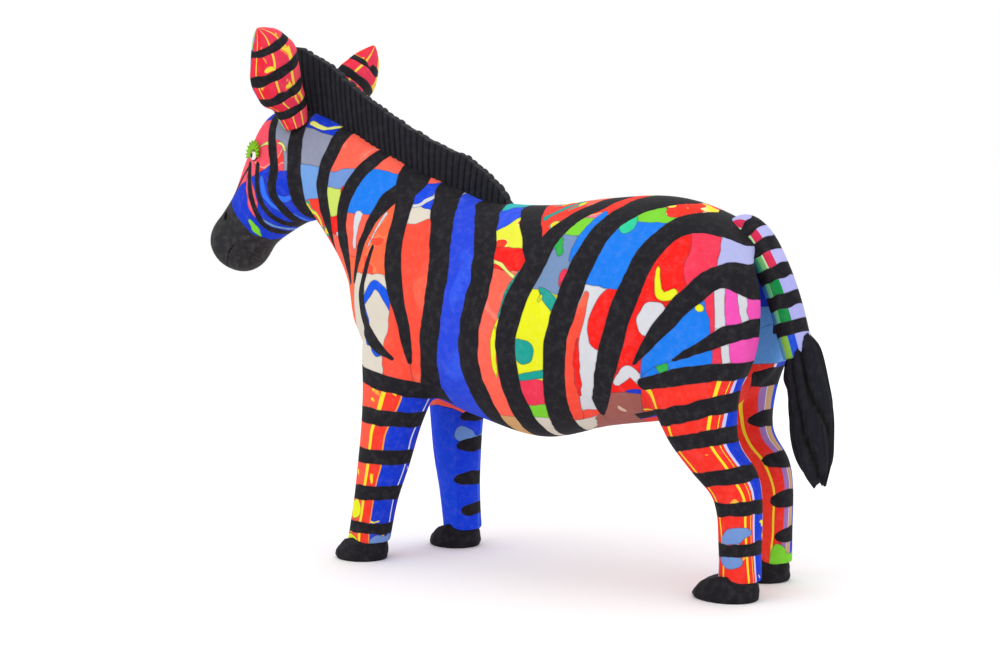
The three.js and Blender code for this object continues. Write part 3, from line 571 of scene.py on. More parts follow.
# Glue lines between the coloured bands. Each band lies between its own line and the next.
PARTING = [
    ("band_cheek", [
        (-284, 520), (-270, 453), (-265, 425), (-269, 398), (-260, 375), (-238, 340), (-236, 300)]),
    ("band_poll", [
        (-240, 520), (-239, 450), (-238, 408), (-237, 380), (-224, 362), (-214, 334), (-212, 300)]),
    ("band_neck_front", [
        (-184, 520), (-188, 455), (-199, 402), (-194, 366), (-190, 333), (-206, 308), (-230, 290)]),
    ("band_neck_rear", [
        (-120, 520), (-141, 434), (-157, 407), (-166, 384), (-168, 356), (-162, 322), (-157, 300),
        (-172, 266), (-230, 236)]),
    ("band_breast", [
        (-104, 520), (-97, 412), (-92, 396), (-106, 384), (-122, 360), (-136, 330), (-144, 300),
        (-150, 262), (-162, 226), (-230, 180)]),
    ("band_shoulder_front", [
        (-104, 520), (-97, 412), (-85, 378), (-82, 345), (-77, 305), (-67, 272), (-62, 244), (-60, 219),
        (-58, 190), (-60, 100)]),
    ("band_shoulder", [
        (-80, 520), (-50, 400), (-34, 370), (-23, 338), (-20, 308), (-24, 272), (-32, 236), (-41, 196),
        (-50, 100)]),
    ("band_barrel_front", [
        (-60, 520), (-3, 390), (20, 364), (33, 332), (34, 300), (25, 262), (21, 222), (26, 186),
        (30, 100)]),
    ("band_saddle", [
        (26, 520), (50, 390), (72, 368), (92, 336), (75, 286), (69, 250), (69, 206), (71, 170), (74, 100)]),
    ("band_barrel_mid", [
        (260, 520), (182, 412), (158, 396), (130, 379), (107, 355), (92, 336), (75, 286), (69, 250),
        (69, 206), (71, 170), (74, 100)]),
    ("band_barrel_rear", [
        (420, 450), (260, 388), (232, 394), (204, 391), (182, 382), (163, 362), (150, 326), (138, 290),
        (127, 254), (119, 212), (109, 168), (98, 100)]),
    ("band_flank", [
        (420, 330), (340, 346), (296, 366), (264, 374), (240, 366), (222, 346), (209, 316), (197, 280),
        (183, 240), (172, 212), (161, 190), (150, 160), (146, 100)]),
    ("band_rump_upper", [
        (420, 280), (345, 290), (322, 306), (302, 322), (286, 320), (266, 300), (246, 278), (228, 254),
        (217, 236), (213, 220), (210, 206), (200, 180), (194, 100)]),
    ("band_rump_lower", [
        (420, 272), (345, 272), (314, 271), (298, 265), (280, 253), (250, 238), (230, 231), (213, 220),
        (210, 206), (200, 180), (194, 100)]),
    ("band_thigh", [
        (420, 226), (345, 226), (310, 227), (288, 227), (258, 222), (218, 212), (210, 206), (200, 180),
        (194, 100)]),
]
MOUTH = [(-323, 342, 0.5), (-334, 335, 1.0), (-340, 329, 1.1), (-344, 320, 1.0), (-350, 310, 0.7)]
NOSTRIL = (-347, 368, 3.6, 5.5, 25)
MUZZLE = [(-392, 420), (-352, 394), (-332, 377), (-315, 358), (-303, 346), (-285, 340), (-255, 290)]
# Leg stripes: y and height at the front edge of the leg, y and height at the rear edge, half height.
RINGS = {
    "leg_front_left": [
        (-122, 203, -44, 186, 9), (-124, 161, -65, 156, 8.5), (-126, 116, -81, 115, 8),
        (-133, 76, -97, 76, 7.8), (-141, 38, -106, 36, 6.3)],
    "leg_front_right": [
        (-110, 190, -50, 190, 8), (-110, 143, -56, 150, 7), (-108, 110, -60, 117, 8),
        (-104, 74, -62, 79, 8), (-100, 40, -60, 44, 7)],
    "leg_hind_left": [
        (203, 172, 300, 197, 9), (226, 150, 298, 165, 8), (267, 119, 318, 129, 7.5), (287, 91, 325, 95, 7),
        (289, 51, 325, 54, 6.5)],
    "leg_hind_right": [
        (203, 188, 300, 213, 9), (226, 158, 298, 170, 8.5), (267, 122, 318, 129, 9), (285, 84, 318, 88, 9),
        (287, 48, 318, 50, 8)],
}
# Coloured patches of each band, laid one over another. "side": the half of the view that the arrow
# (degrees, 0 to the rear, 90 up) points to, from a point; "blob": an oval at a point, with two half widths
# and a tilt; "line": a thin inlay.
PATCHES = {
    "band_face": ("facered", "pink_foam", [
        ("deepblue", "side", 100, -285, 476), ("pink", "side", -160, -293, 424),
        ("deepblue", "side", -66, -288, 419), ("deepblue", "side", -34, -303, 371),
        ("pink", "blob", -301, 392, 7, 26, 10),
        ("brightblue", "line", [(-283, 414, 3), (-282, 398, 3.5), (-275, 384, 2.5), (-262, 372, 1.5)]),
        ("pale", "line", [(-290, 366, 1.2), (-280, 358, 1.6), (-262, 352, 1.2)]),
        ("paleyellow", "line", [(-288, 447, 1.0), (-277, 451, 1.5), (-266, 449, 1.2), (-256, 445, 1.0)]),
        ("lime", "line", [(-307, 366, 1.5), (-303, 356, 4.5), (-300, 346, 1.5)]),
        ("black", "line", [(-303, 428, 1.2), (-312, 418, 1.7), (-326, 404, 1.7), (-345, 386, 1.5)])]),
    "band_cheek": ("grey", "grey_foam", [
        ("facered", "blob", -260, 436, 8, 19, 12),
        ("paleyellow", "line", [(-262, 452, 1.2), (-255, 450, 1.5), (-250, 442, 1.2)]),
        ("deepblue", "side", -82, -256, 419),
        ("brightblue", "line", [(-264, 392, 2), (-256, 388, 3), (-247, 392, 2)]),
        ("brightblue", "line", [(-252, 372, 1.5), (-244, 364, 2), (-236, 358, 1.2)])]),
    "band_poll": ("pale", "pale_blue_foam", [
        ("grey", "side", 86, -214, 427), ("deepblue", "side", 74, -214, 464),
        ("paleyellow", "line", [(-228, 474, 2.2), (-208, 467, 1.8), (-196, 469, 1.8), (-184, 473, 2)]),
        ("redyellow", "side", -84, -214, 389)]),
    "band_neck_front": ("coral", "coral_foam", [
        ("steel", "side", -84, -172, 421), ("limeflat", "side", -97, -176, 401),
        ("red", "blob", -165, 397, 6, 8, 20), ("red", "side", -95, -180, 372),
        ("coral", "side", -92, -180, 352), ("white", "blob", -177, 352, 3, 3, 0)]),
    "band_neck_rear": ("coral", "sky_blue_foam", [
        ("sky", "side", -106, -122, 420), ("coral", "side", -92, -134, 374),
        ("white", "line", [(-142, 376, 5), (-146, 358, 4), (-146, 336, 2)]),
        ("orange", "side", -85, -140, 330)]),
    "band_breast": ("orange", "orange_foam", [
        ("white", "line", [(-104, 376, 2.2), (-112, 358, 1.4), (-120, 340, 1.0)]),
        ("cream", "side", -90, -98, 313),
        ("blueflat", "line", [(-124, 280, 3), (-114, 291, 5), (-105, 300, 5), (-96, 297, 5), (-86, 287, 6),
                              (-78, 275, 5)]),
        ("blueflat", "line", [(-126, 282, 3), (-121, 262, 4), (-112, 240, 5)]),
        ("blueflat", "blob", -98, 232, 9, 8, 0), ("redcoral", "side", -8, -86, 250)]),
    "band_shoulder_front": ("redcoral", "red_foam", [
        ("cream", "side", 96, -62, 368), ("royaldeep", "side", 80, -66, 383),
        ("coral", "side", 96, -78, 407),
        ("white", "line", [(-84, 384, 1.2), (-70, 384, 2.2), (-60, 392, 2.6), (-57, 402, 1.4)])]),
    "band_shoulder": ("royal", "royal_blue_foam", [
        ("coralflat", "side", 100, -34, 408),
        ("white", "line", [(-44, 404, 2), (-38, 398, 3.6), (-36, 388, 1)])]),
    "band_barrel_front": ("coral", "coral_foam", [
        ("red", "side", 84, 50, 322), ("yellowchip", "side", 92, 52, 343), ("royal", "side", 128, 46, 366),
        ("teallight", "side", 96, 33, 382), ("tan", "side", -88, 48, 170),
        ("paleyellow", "line", [(34, 331, 1.6), (50, 328, 1.8), (62, 322, 1.6), (78, 312, 1.4)]),
        ("teal", "line", [(80, 320, 1.6), (70, 299, 2.8), (64, 280, 2.6), (60, 266, 1.2)]),
        ("yellow", "line", [(61, 272, 1.5), (55, 254, 3.2), (53, 232, 3.4), (54, 212, 2.4)])]),
    "band_saddle": ("redyellow", "orange_foam", [
        ("coralflat", "side", 70, 96, 398),
        ("teal", "line", [(84, 372, 3), (96, 380, 2.5), (112, 389, 1.5)]),
        ("yellow", "blob", 104, 392, 8, 3, 20)]),
    "band_barrel_mid": ("yellow", "yellow_foam", [
        ("greyblue", "side", 84, 104, 302), ("lime", "side", 86, 120, 357),
        ("redswirl", "side", 84, 134, 374), ("lime", "side", 30, 182, 396),
        ("crimson", "side", -92, 95, 211), ("lime", "side", -84, 95, 184), ("cream", "side", -90, 95, 168),
        ("green", "blob", 118, 347, 5, 10, 25),
        ("sky", "line", [(156, 378, 5), (146, 361, 6.5), (140, 346, 5.5), (136, 332, 2.5)]),
        ("crimson", "blob", 132, 314, 5, 9, 0),
        ("teal", "line", [(106, 304, 2), (116, 296, 7), (127, 284, 9), (134, 272, 3)]),
        ("yellow", "blob", 108, 294, 3, 6, -30), ("teal", "blob", 88, 240, 13, 13, 20),
        ("teal", "line", [(74, 211, 3), (95, 215, 4), (122, 220, 5)])]),
    "band_barrel_rear": ("white", "sky_blue_foam", [
        ("red", "blob", 182, 277, 17, 33, -22), ("sky", "side", 88, 165, 308),
        ("lime", "side", 92, 200, 369), ("aqua", "blob", 184, 373, 10, 16, 40),
        ("swirl", "blob", 240, 388, 27, 14, -6), ("white", "side", 20, 264, 380),
        ("teallight", "side", 30, 284, 372), ("redcoral", "side", -84, 150, 180),
        ("redcoral", "line", [(160, 300, 3), (151, 272, 6.5), (144, 246, 7), (135, 208, 9),
                              (126, 178, 10)]),
        ("red", "line", [(152, 256, 1.2), (148, 236, 3.2), (144, 208, 3.2), (142, 196, 1.2)]),
        ("cream", "side", -74, 130, 168), ("brown", "side", -52, 156, 178)]),
    "band_flank": ("red", "red_foam", [
        ("rosered", "side", 8, 256, 345), ("lavender", "side", 14, 281, 350),
        ("yellow", "line", [(232, 328, 2), (234, 312, 3.5), (240, 301, 5.5), (253, 304, 4.5)]),
        ("white", "blob", 229, 279, 13, 18, -28),
        ("white", "line", [(186, 212, 3), (194, 219, 5), (202, 226, 5), (211, 216, 5)]),
        ("brown", "side", -84, 198, 204),
        ("deepblue", "line", [(192, 203, 1), (204, 204, 2.6), (214, 203, 1.5)])]),
    "band_rump_upper": ("sky", "pink_foam", [
        ("crimson", "side", 16, 278, 296), ("hotpink", "side", 4, 296, 290),
        ("white", "line", [(289, 330, 4), (292, 300, 4.4), (294, 262, 4)]),
        ("white", "line", [(303, 330, 2.2), (308, 300, 2.2), (312, 262, 2.2)]),
        ("yellow", "blob", 276, 290, 3.5, 3.5, 30), ("paleback", "right", 255, 330, 262),
        ("deepblue", "right", 286, 330, 262)]),
    "band_rump_lower": ("hotpink", "crimson_foam", [
        ("crimson", "side", 182, 297, 245), ("sky", "side", 178, 289, 245),
        ("green", "blob", 238, 231, 7, 6, 0),
        ("white", "line", [(298, 266, 3.2), (299, 246, 3.2), (300, 226, 3.2)]),
        ("paleback", "right", 226, 290, 262)]),
    "band_thigh": ("thigh", "red_foam", []),
    "leg_front_left": ("leg_front_left", "red_foam", [
        ("yellow", "blob", -131, 57, 8, 11, 0), ("yellow", "blob", -140, 20, 14, 9, 0),
        ("steel", "blob", -106, 20, 9, 9, 0)]),
    "leg_front_right": ("leg_front_right", "royal_blue_foam", [
        ("coralflat", "side", 84, -84, 163), ("pale", "blob", -64, 133, 9, 11, 0)]),
    "leg_hind_left": ("leg_hind_left", "red_foam", [
        ("steel", "blob", 306, 67, 15, 8, 22), ("steel", "blob", 303, 42, 13, 7, 0)]),
    "leg_hind_right": ("leg_hind_right", "red_foam", [
        ("lime", "blob", 309, 33, 8, 14, 0)]),
}

# ---------------------------------------------------------------- signed distances, positive inside
def segments(p, line):
    """For each point (y, z): the nearest distance to a broken line, the place along it (in points) and the
    signed side."""
    line = np.array(line, float)
    a, d = line[:-1, :2], np.diff(line[:, :2], axis=0)
    best, where, side = np.full(len(p), 1e9), np.zeros(len(p)), np.zeros(len(p))
    for k in range(len(a)):
        q = p - a[k]
        t = np.clip((q @ d[k]) / (d[k] @ d[k]), 0, 1)
        r = np.hypot(*(q - t[:, None] * d[k]).T)
        near = r < best
        best = np.where(near, r, best)
        where = np.where(near, k + t, where)
        side = np.where(near, np.sign(d[k][0] * q[:, 1] - d[k][1] * q[:, 0]), side)
    return best, where, side


def inside_line(v, line, seed=0, sway=0.8, count=None):
    """Half width of the line minus the distance from it on the side view, with a hand-cut waver."""
    fine = spline(line, count or 7 * len(line))
    dist, at, _ = segments(v[:, 1:], fine)
    half = np.interp(at, np.arange(len(fine)), np.maximum(fine[:, 2], 0.2))
    depth = half - dist + sway * ripple(v, 34, seed) * np.clip(half / 6, 0.25, 1)
    return depth + 0.35 * sway * ripple(v, 11, seed + 50)


def inside_patch(v, kind, nums, seed):
    """The side of a wavy line, or an oval: positive inside."""
    y, z = v[:, 1], v[:, 2]
    if kind == "side":
        a = math.radians(nums[0])
        flip = np.where(v[:, 0] < 0, 1.0, 0.0) * step(8, 60, -v[:, 0])
        ahead = (y - nums[1]) * math.cos(a) + (z - nums[2] + 17 * flip) * math.sin(a)
        return ahead + 1.6 * ripple(v, 42, seed) + 0.7 * ripple(v, 14, seed + 50)
    if kind == "blob":
        a = math.radians(nums[4])
        p, q = y - nums[0], z - nums[1] + 12 * step(8, 60, -v[:, 0])
        u, w = p * math.cos(a) + q * math.sin(a), q * math.cos(a) - p * math.sin(a)
        return min(nums[2], nums[3]) * (1 - np.hypot(u / nums[2], w / nums[3])) + 0.9 * ripple(v, 16, seed)
    # on the right buttock, between two heights, behind a y
    if kind == "right":
        inside = np.minimum(np.minimum(-v[:, 0] - 1, y - nums[2]), np.minimum(z - nums[0], nums[1] - z))
        return inside + 0.6 * ripple(v, 20, seed)
    return inside_line(v, nums[0], seed, 0.5)


# ---------------------------------------------------------------- cutting a skin
class Skin:
    """Triangles with a label each, cut along the zero line of any field over its corners."""

    def __init__(self, v, f, label):
        self.v, self.f = v, f
        self.n = normals(v, f)
        self.label = np.full(len(f), label)

    def over(self, among, field):
        """A field worked out only at the corners of the triangles labelled `among`."""
        used = np.unique(self.f[np.isin(self.label, among)])
        out = np.full(len(self.v), -1.0)
        out[used] = field(self.v[used])
        return out

    def cut(self, field, among, label):
        """Splits the triangles labelled `among` where field crosses zero, and relabels the positive side.
        Each crossed triangle has one corner alone on its side: its two edges are cut in proportion, giving
        three triangles."""
        field = np.where(np.abs(field) < 0.02, 0.02, field)
        pick = np.isin(self.label, among)
        sign = field > 0
        count = sign[self.f].sum(1)
        mixed = pick & (count > 0) & (count < 3)
        m = self.f[mixed]
        lone = np.argmax(sign[m] == (count[mixed] == 1)[:, None], axis=1)
        r = np.arange(len(m))
        a, b, c = m[r, lone], m[r, (lone + 1) % 3], m[r, (lone + 2) % 3]
        edge = np.sort(np.concatenate([np.stack([a, b], -1), np.stack([a, c], -1)]), axis=1)
        keys, back = np.unique(edge[:, 0].astype(np.int64) * (len(self.v) + 1) + edge[:, 1],
                               return_inverse=True)
        i, j = keys // (len(self.v) + 1), keys % (len(self.v) + 1)
        t = np.clip(field[i] / (field[i] - field[j] + 1e-12), 0.05, 0.95)[:, None]
        n = self.n[i] + t * (self.n[j] - self.n[i])
        base = len(self.v)
        self.v = np.concatenate([self.v, self.v[i] + t * (self.v[j] - self.v[i])])
        self.n = np.concatenate([self.n, n / np.maximum(np.linalg.norm(n, axis=1), 1e-9)[:, None]])
        ab, ac = base + back[: len(m)], base + back[len(m):]
        up = sign[a]
        keep, kept = self.f[~mixed], self.label[~mixed]
        kept = np.where(pick[~mixed] & (count[~mixed] == 3), label, kept)
        old = self.label[mixed]
        self.f = np.concatenate([keep, np.stack([a, ab, ac], -1), np.stack([ab, b, c], -1),
                                 np.stack([ab, c, ac], -1)])
        self.label = np.concatenate([kept, np.where(up, label, old), np.where(up, old, label),
                                     np.where(up, old, label)])

    def inlay(self, line, among, label, seed):
        """A thin strip let in along a line on the side view. It is cut along its two edges in turn, each a
        zero line of the signed distance from the middle moved by half the width, so that it may be thinner
        than a triangle."""
        fine = spline(line, 8 * len(line))
        first, last = fine[0] - fine[1], fine[-1] - fine[-2]

        def away(v, turn):
            """Signed distance from the middle line, moved by half the width to one side or the other."""
            dist, at, side = segments(v[:, 1:], fine)
            half = np.interp(at, np.arange(len(fine)), np.maximum(fine[:, 2], 0.2))
            half = half * (1 + 0.25 * ripple(v, 15, seed))
            over = np.where(at <= 0, (v[:, 1:] - fine[0, :2]) @ first[:2] / np.hypot(*first[:2]), 0)
            over = over + np.where(at >= len(fine) - 1,
                                   (v[:, 1:] - fine[-1, :2]) @ last[:2] / np.hypot(*last[:2]), 0)
            half = half - 2 * np.maximum(over, 0) - np.maximum(dist - 5, 0)
            return dist * side + 0.5 * ripple(v, 26, seed + 9) * (dist < 12) + turn * half

        for one in among:
            if (self.label == one).any():
                self.cut(self.over([one], lambda v: away(v, 1)), [one], -7)
                self.cut(self.over([-7], lambda v: away(v, -1)), [-7], one)
                self.label[self.label == -7] = label

    def rims(self):
        """Distance of each corner from the nearest border between two labels, within a few corners of
        it."""
        f, v = self.f, self.v
        low, high = np.full(len(v), 1 << 30), np.full(len(v), -1)
        np.minimum.at(low, f.ravel(), np.repeat(self.label, 3))
        np.maximum.at(high, f.ravel(), np.repeat(self.label, 3))
        d = np.where(low != high, 0.0, 9.0)
        e = np.concatenate([f[:, [0, 1]], f[:, [1, 2]], f[:, [2, 0]]])
        e = np.concatenate([e, e[:, ::-1]])
        long = np.linalg.norm(v[e[:, 0]] - v[e[:, 1]], axis=1)
        for _ in range(3):
            near = d.copy()
            np.minimum.at(near, e[:, 0], d[e[:, 1]] + long)
            d = near
        return d


def piece(name, v, f, n, mats, index, attrs, nodes, thick=SLAB):
    """A closed slab under a patch of skin: the patch, a copy of it `thick` below, and a wall along its open
    edge."""
    used, f = np.unique(f, return_inverse=True)
    f = f.reshape(-1, 3)
    v, n = v[used], n[used]
    k = len(v)
    parts, shade, slots = [f], [n[f]], [index]
    if thick:
        e = np.concatenate([f[:, [0, 1]], f[:, [1, 2]], f[:, [2, 0]]])
        who = np.tile(np.arange(len(f)), 3)
        key = np.sort(e, axis=1)
        _, first, count = np.unique(key[:, 0].astype(np.int64) * (k + 1) + key[:, 1], return_index=True,
                                    return_counts=True)
        rim, owner = e[first[count == 1]], who[first[count == 1]]
        a, b = rim[:, 0], rim[:, 1]
        wall = np.concatenate([np.stack([b, a, a + k], -1), np.stack([b, a + k, b + k], -1)])
        vv = np.concatenate([v, v - n * thick])
        g = np.cross(vv[wall[:, 1]] - vv[wall[:, 0]], vv[wall[:, 2]] - vv[wall[:, 0]])
        g /= np.maximum(np.linalg.norm(g, axis=1), 1e-9)[:, None]
        parts += [f[:, ::-1] + k, wall]
        shade += [-n[f[:, ::-1]], np.repeat(g[:, None], 3, 1)]
        slots += [index, np.tile(index[owner], 2)]
        v = vv
    f, shade, slots = np.concatenate(parts), np.concatenate(shade), np.concatenate(slots)
    me = bpy.data.meshes.new(name)
    me.vertices.add(len(v))
    me.vertices.foreach_set("co", (v * MM).ravel())
    me.loops.add(f.size)
    me.loops.foreach_set("vertex_index", f.ravel().astype(np.int32))
    me.polygons.add(len(f))
    me.polygons.foreach_set("loop_start", np.arange(0, f.size, 3, dtype=np.int32))
    me.polygons.foreach_set("material_index", slots.astype(np.int32))
    for m in mats:
        me.materials.append(FINISH[m])
    for key, data in attrs.items():
        data = data[used]
        att = me.attributes.new(key, "FLOAT", "POINT")
        att.data.foreach_set("value", (np.concatenate([data, data]) if thick else data).astype(np.float32))
    me.update(calc_edges=True)
    me.polygons.foreach_set("use_smooth", np.ones(len(f), bool))
    me.normals_split_custom_set(shade.reshape(-1, 3))
    o = bpy.data.objects.new(name, me)
    bpy.context.collection.objects.link(o)
    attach(o, "root")
    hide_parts(*nodes)
    return o


def cut_pieces(skin, names, attrs, thick=SLAB):
    """One object per name: names maps an object name to (labels, one finish per label, CAD nodes, slot)."""
    out = {}
    for name, (labels, mats, nodes, slot) in names.items():
        pick = np.isin(skin.label, labels)
        if not pick.any():
            print("no faces for", name)
            continue
        order = sorted(set(mats))
        lookup = {l: order.index(m) for l, m in zip(labels, mats)}
        index = np.array([lookup[l] for l in skin.label[pick]])
        out[name] = piece(name, skin.v, skin.f[pick], skin.n, order, index, attrs, nodes, thick)
    return out


# ---------------------------------------------------------------- the body skin
def oval(row, n):
    """A slightly squared oval: power 2/2.08 of cosine and sine, its up half and down half of their own
    reach, leaning."""
    y, z, lean, a, up, down = row
    th = np.arange(n) * 2 * np.pi / n
    c, s, e = np.cos(th), np.sin(th), 2 / 2.08
    w = np.where(s > 0, up, down) * np.sign(s) * np.abs(s) ** e
    return np.stack([a * np.sign(c) * np.abs(c) ** e, y + w * math.sin(math.radians(lean)),
                     z + w * math.cos(math.radians(lean))], -1)


def trunk_part(rows, count, n=72):
    """A closed skin of leaning ovals along a body part."""
    fit = spline(rows, count)
    fit[:, 3:] = np.maximum(fit[:, 3:], 2)
    return skin_over(np.stack([oval(r, n) for r in fit]))


def limb_rows(rows, count=48):
    """The rings of a leg drawn out to many, in the order z, y, x, half width, forward, back."""
    r = np.array(rows, float)
    return spline(r[:, [0, 2, 1, 3, 4, 5]], count)


def limb(rows, side, count=48, n=40):
    """Ovals stacked up a leg, reaching further back or forward as the row says."""
    fit = limb_rows(rows, count)
    th = np.arange(n) * 2 * np.pi / n
    c, s = np.cos(th), np.sin(th)
    z, y, x, a, fw, bk = (fit[:, k, None] for k in range(6))
    level = np.broadcast_to(z, (count, n))
    return skin_over(np.stack([side * (x + a * c), y + np.where(s > 0, bk, fw) * s, level], -1))


def joined(parts):
    """Several skins as one list of corners and one of faces."""
    v, f, base = [], [], 0
    for pv, pf in parts:
        v.append(pv)
        f.append(pf + base)
        base += len(pv)
    return np.concatenate(v), np.concatenate(f)


def fused(parts, voxel):
    """Runs overlapping skins together into one, on a fine grid."""
    v, f = joined(parts)
    me = bpy.data.meshes.new("fused")
    me.from_pydata((v * MM).tolist(), [], f.tolist())
    o = bpy.data.objects.new("fused", me)
    bpy.context.collection.objects.link(o)
    mod = o.modifiers.new("fuse", "REMESH")
    mod.mode, mod.voxel_size, mod.adaptivity = "VOXEL", voxel * MM, 0.0
    out = bpy.data.meshes.new_from_object(o.evaluated_get(bpy.context.evaluated_depsgraph_get()))
    out.calc_loop_triangles()
    v = np.empty(len(out.vertices) * 3, np.float32)
    out.vertices.foreach_get("co", v)
    f = np.empty(len(out.loop_triangles) * 3, np.int32)
    out.loop_triangles.foreach_get("vertices", f)
    bpy.data.objects.remove(o)
    bpy.data.meshes.remove(me)
    bpy.data.meshes.remove(out)
    v, f = v.reshape(-1, 3).astype(float) / MM, f.reshape(-1, 3)
    return v, outward(v, f)


def limb_place(v, name):
    """Where a point is round a leg: turn in degrees from the rear by way of the inner face, and the share
    of a full turn from the front by way of the outer face, which drifts a little half way down."""
    rows, side = LEGS[name]
    fit = limb_rows(rows)[::-1]
    z, y, x, a, fw, bk = (np.interp(v[:, 2], fit[:, 0], fit[:, k]) for k in range(6))
    mid, reach = y + 0.5 * (bk - fw), 0.5 * (bk + fw)
    turn = np.degrees(np.arctan2(-(side * v[:, 0] - x) / a, (v[:, 1] - mid) / reach)) % 360
    return turn, ((turn - 180) % 360) / 360 + 0.045 * np.sin(np.pi * np.clip(v[:, 2], 0, 220) / 220)


def leg_field(v, name):
    """Positive on the leg: below the top of its highest stripe, out from the belly, and on its own side."""
    (y0, z0, y1, z1, half), side, hind = RINGS[name][0], LEGS[name][1], "hind" in name
    below = z0 + half + (z1 - z0) * (np.clip(v[:, 1], y0 - 20, y1 + 20) - y0) / (y1 - y0) - v[:, 2]
    fore = v[:, 1] - 188 if hind else -28 - v[:, 1]
    out = side * v[:, 0] - (12 if hind else 18)
    return np.minimum(np.minimum(below + 0.8 * ripple(v, 30, 5), out), fore)


def ring_field(v, name, k):
    """Half height of a leg stripe less the height from its slanting middle line. From the rear corner round
    the inner face the half height falls away to a point, and at the inner front corner the stripe starts
    again."""
    y0, z0, y1, z1, half = RINGS[name][k]
    turn, _ = limb_place(v, name)
    mid = z0 + (z1 - z0) * (v[:, 1] - y0) / (y1 - y0)
    end = RING_ENDS["left" if name.endswith("left") else "right"][k]
    fall = np.sqrt(np.maximum(1 - (np.clip(turn - 10, 0, 999) / end) ** 2.2, 0))
    h = half * np.where(turn < end + 10, fall, step(178, 196, turn))
    h = np.where((turn >= end + 10) & (turn < 178), -3.0, h)
    off = np.abs(v[:, 2] - mid) if k else mid - v[:, 2]
    return h - off + 0.8 * ripple(v, 24, 90 + k) + 0.3 * ripple(v, 9, 70 + k)


trunk = [trunk_part(TORSO, 110), trunk_part(NECK, 50), trunk_part(HEAD, 70)]
v, f = fused(trunk + [limb(r, s) for r, s in LEGS.values()], VOXEL)
v = smooth(v, f, 10)
root = step(150, 185, v[:, 2]) * step(262, 225, v[:, 2])
root = root * (step(-30, -45, v[:, 1]) + step(180, 200, v[:, 1]))
soft = smooth(v, f, 30, 0.30)
v = v + np.clip(root, 0, 1)[:, None] * (soft - v)
cleft = np.exp(-(v[:, 0] / CLEFT_WIDE) ** 2) * step(225, 290, v[:, 1])
cleft = cleft * step(354, 318, v[:, 2]) * step(178, 232, v[:, 2])
v = v - np.stack([0 * cleft, CLEFT_DEEP * cleft, 0 * cleft], -1)
v = smooth(v, f, 2)
S = Skin(v, f, 0)
LABEL = {"skin": 0}


def label(name):
    """The number that stands for a named patch of the skin, given out on first use."""
    return LABEL.setdefault(name, len(LABEL))


fine_muzzle = spline([p + (0,) for p in MUZZLE], 60)[:, :2]
dist, _, side = segments(S.v[:, 1:], fine_muzzle)
S.cut(np.minimum(-dist * side + 1.0 * ripple(S.v, 30, 3), S.v[:, 2] - 270), [0], label("muzzle"))
for name in LEGS:
    S.cut(leg_field(S.v, name), [0], label(name))
for k, (name, line) in enumerate(STRIPES.items()):
    field = inside_line(S.v, line, 100 + k)
    # The thigh stripe stops at the cleft; the rump stripes start again on the right buttock.
    if name in ("stripe_rump_1", "stripe_rump_2", "stripe_thigh"):
        gap = S.v[:, 0] - 3 if name == "stripe_thigh" else np.maximum(S.v[:, 0] - 3, -S.v[:, 0] - 22)
        field = np.where(S.v[:, 1] > BUTTOCK_Y, np.minimum(field, gap), field)
    S.cut(field, [0], label(name))
for name, line in PARTING:
    dist, _, side = segments(S.v[:, 1:], line)
    before = [LABEL["skin"]] + [LABEL[n] for n, _ in PARTING if n in LABEL]
    S.cut(dist * side, before, label(name))
LABEL["band_face"] = LABEL["skin"]

jobs = {}
for k, (name, (first, slot, patches)) in enumerate(PATCHES.items()):
    labels, mats = [LABEL[name]], [first]
    for j, (mat, kind, *nums) in enumerate(patches):
        new = label(name + "_patch_%d" % j)
        if kind == "line" and min(row[2] for row in nums[0]) < 3:
            S.inlay(nums[0], labels, new, 300 + 20 * k + j)
        else:
            S.cut(S.over(labels, lambda v: inside_patch(v, kind, nums, 300 + 20 * k + j)), labels, new)
        labels.append(new)
        mats.append(mat)
    jobs[name.replace("band_", "patchwork_")] = (labels, mats, [name], slot)
for name in STRIPES:
    tags = ["_left", "_right"] if name in ("stripe_neck_fork", "stripe_breast") else [""]
    if len(tags) == 2:
        centre = S.v[S.f].mean(1)[:, 0]
        S.label = np.where((S.label == LABEL[name]) & (centre < 0), label(name + "_right"), S.label)
        LABEL[name + "_left"] = LABEL[name]
    for tag in tags:
        job = ([LABEL[name + tag]], ["black"], [name + tag], "black_foam")
        jobs[(name + tag).replace("stripe_", "inlay_")] = job
for name in LEGS:
    new = label(name + "_rings")
    labels, mats, nodes, slot = jobs[name]
    for k in range(len(RINGS[name])):
        S.cut(ring_field(S.v, name, k), labels, new)
    jobs[name.replace("leg_", "limb_")] = (labels + [new], mats + ["black"], nodes, slot)
    del jobs[name]
# The mouth line and the nostril oval take the near-black finish, painted shade in a cut and a hollow.
S.inlay(MOUTH, [LABEL["muzzle"]], label("mouth"), 41)
S.cut(inside_patch(S.v, "blob", NOSTRIL, 44), [LABEL["muzzle"]], label("nostril"))
jobs["muzzle_cap"] = ([LABEL["muzzle"], LABEL["mouth"], LABEL["nostril"]], ["muzzle", "slit", "slit"],
                      ["muzzle"], "black_foam")
across = np.zeros(len(S.v))
for name in LEGS:
    mine = (S.v[:, 0] * LEGS[name][1] > 0) & ((S.v[:, 1] > 100) == ("hind" in name))
    across = np.where(mine, limb_place(S.v, name)[1], across)
body = cut_pieces(S, jobs, {"rim": S.rims(), "across": across})
print("skin", len(S.v), len(S.f), len(body))


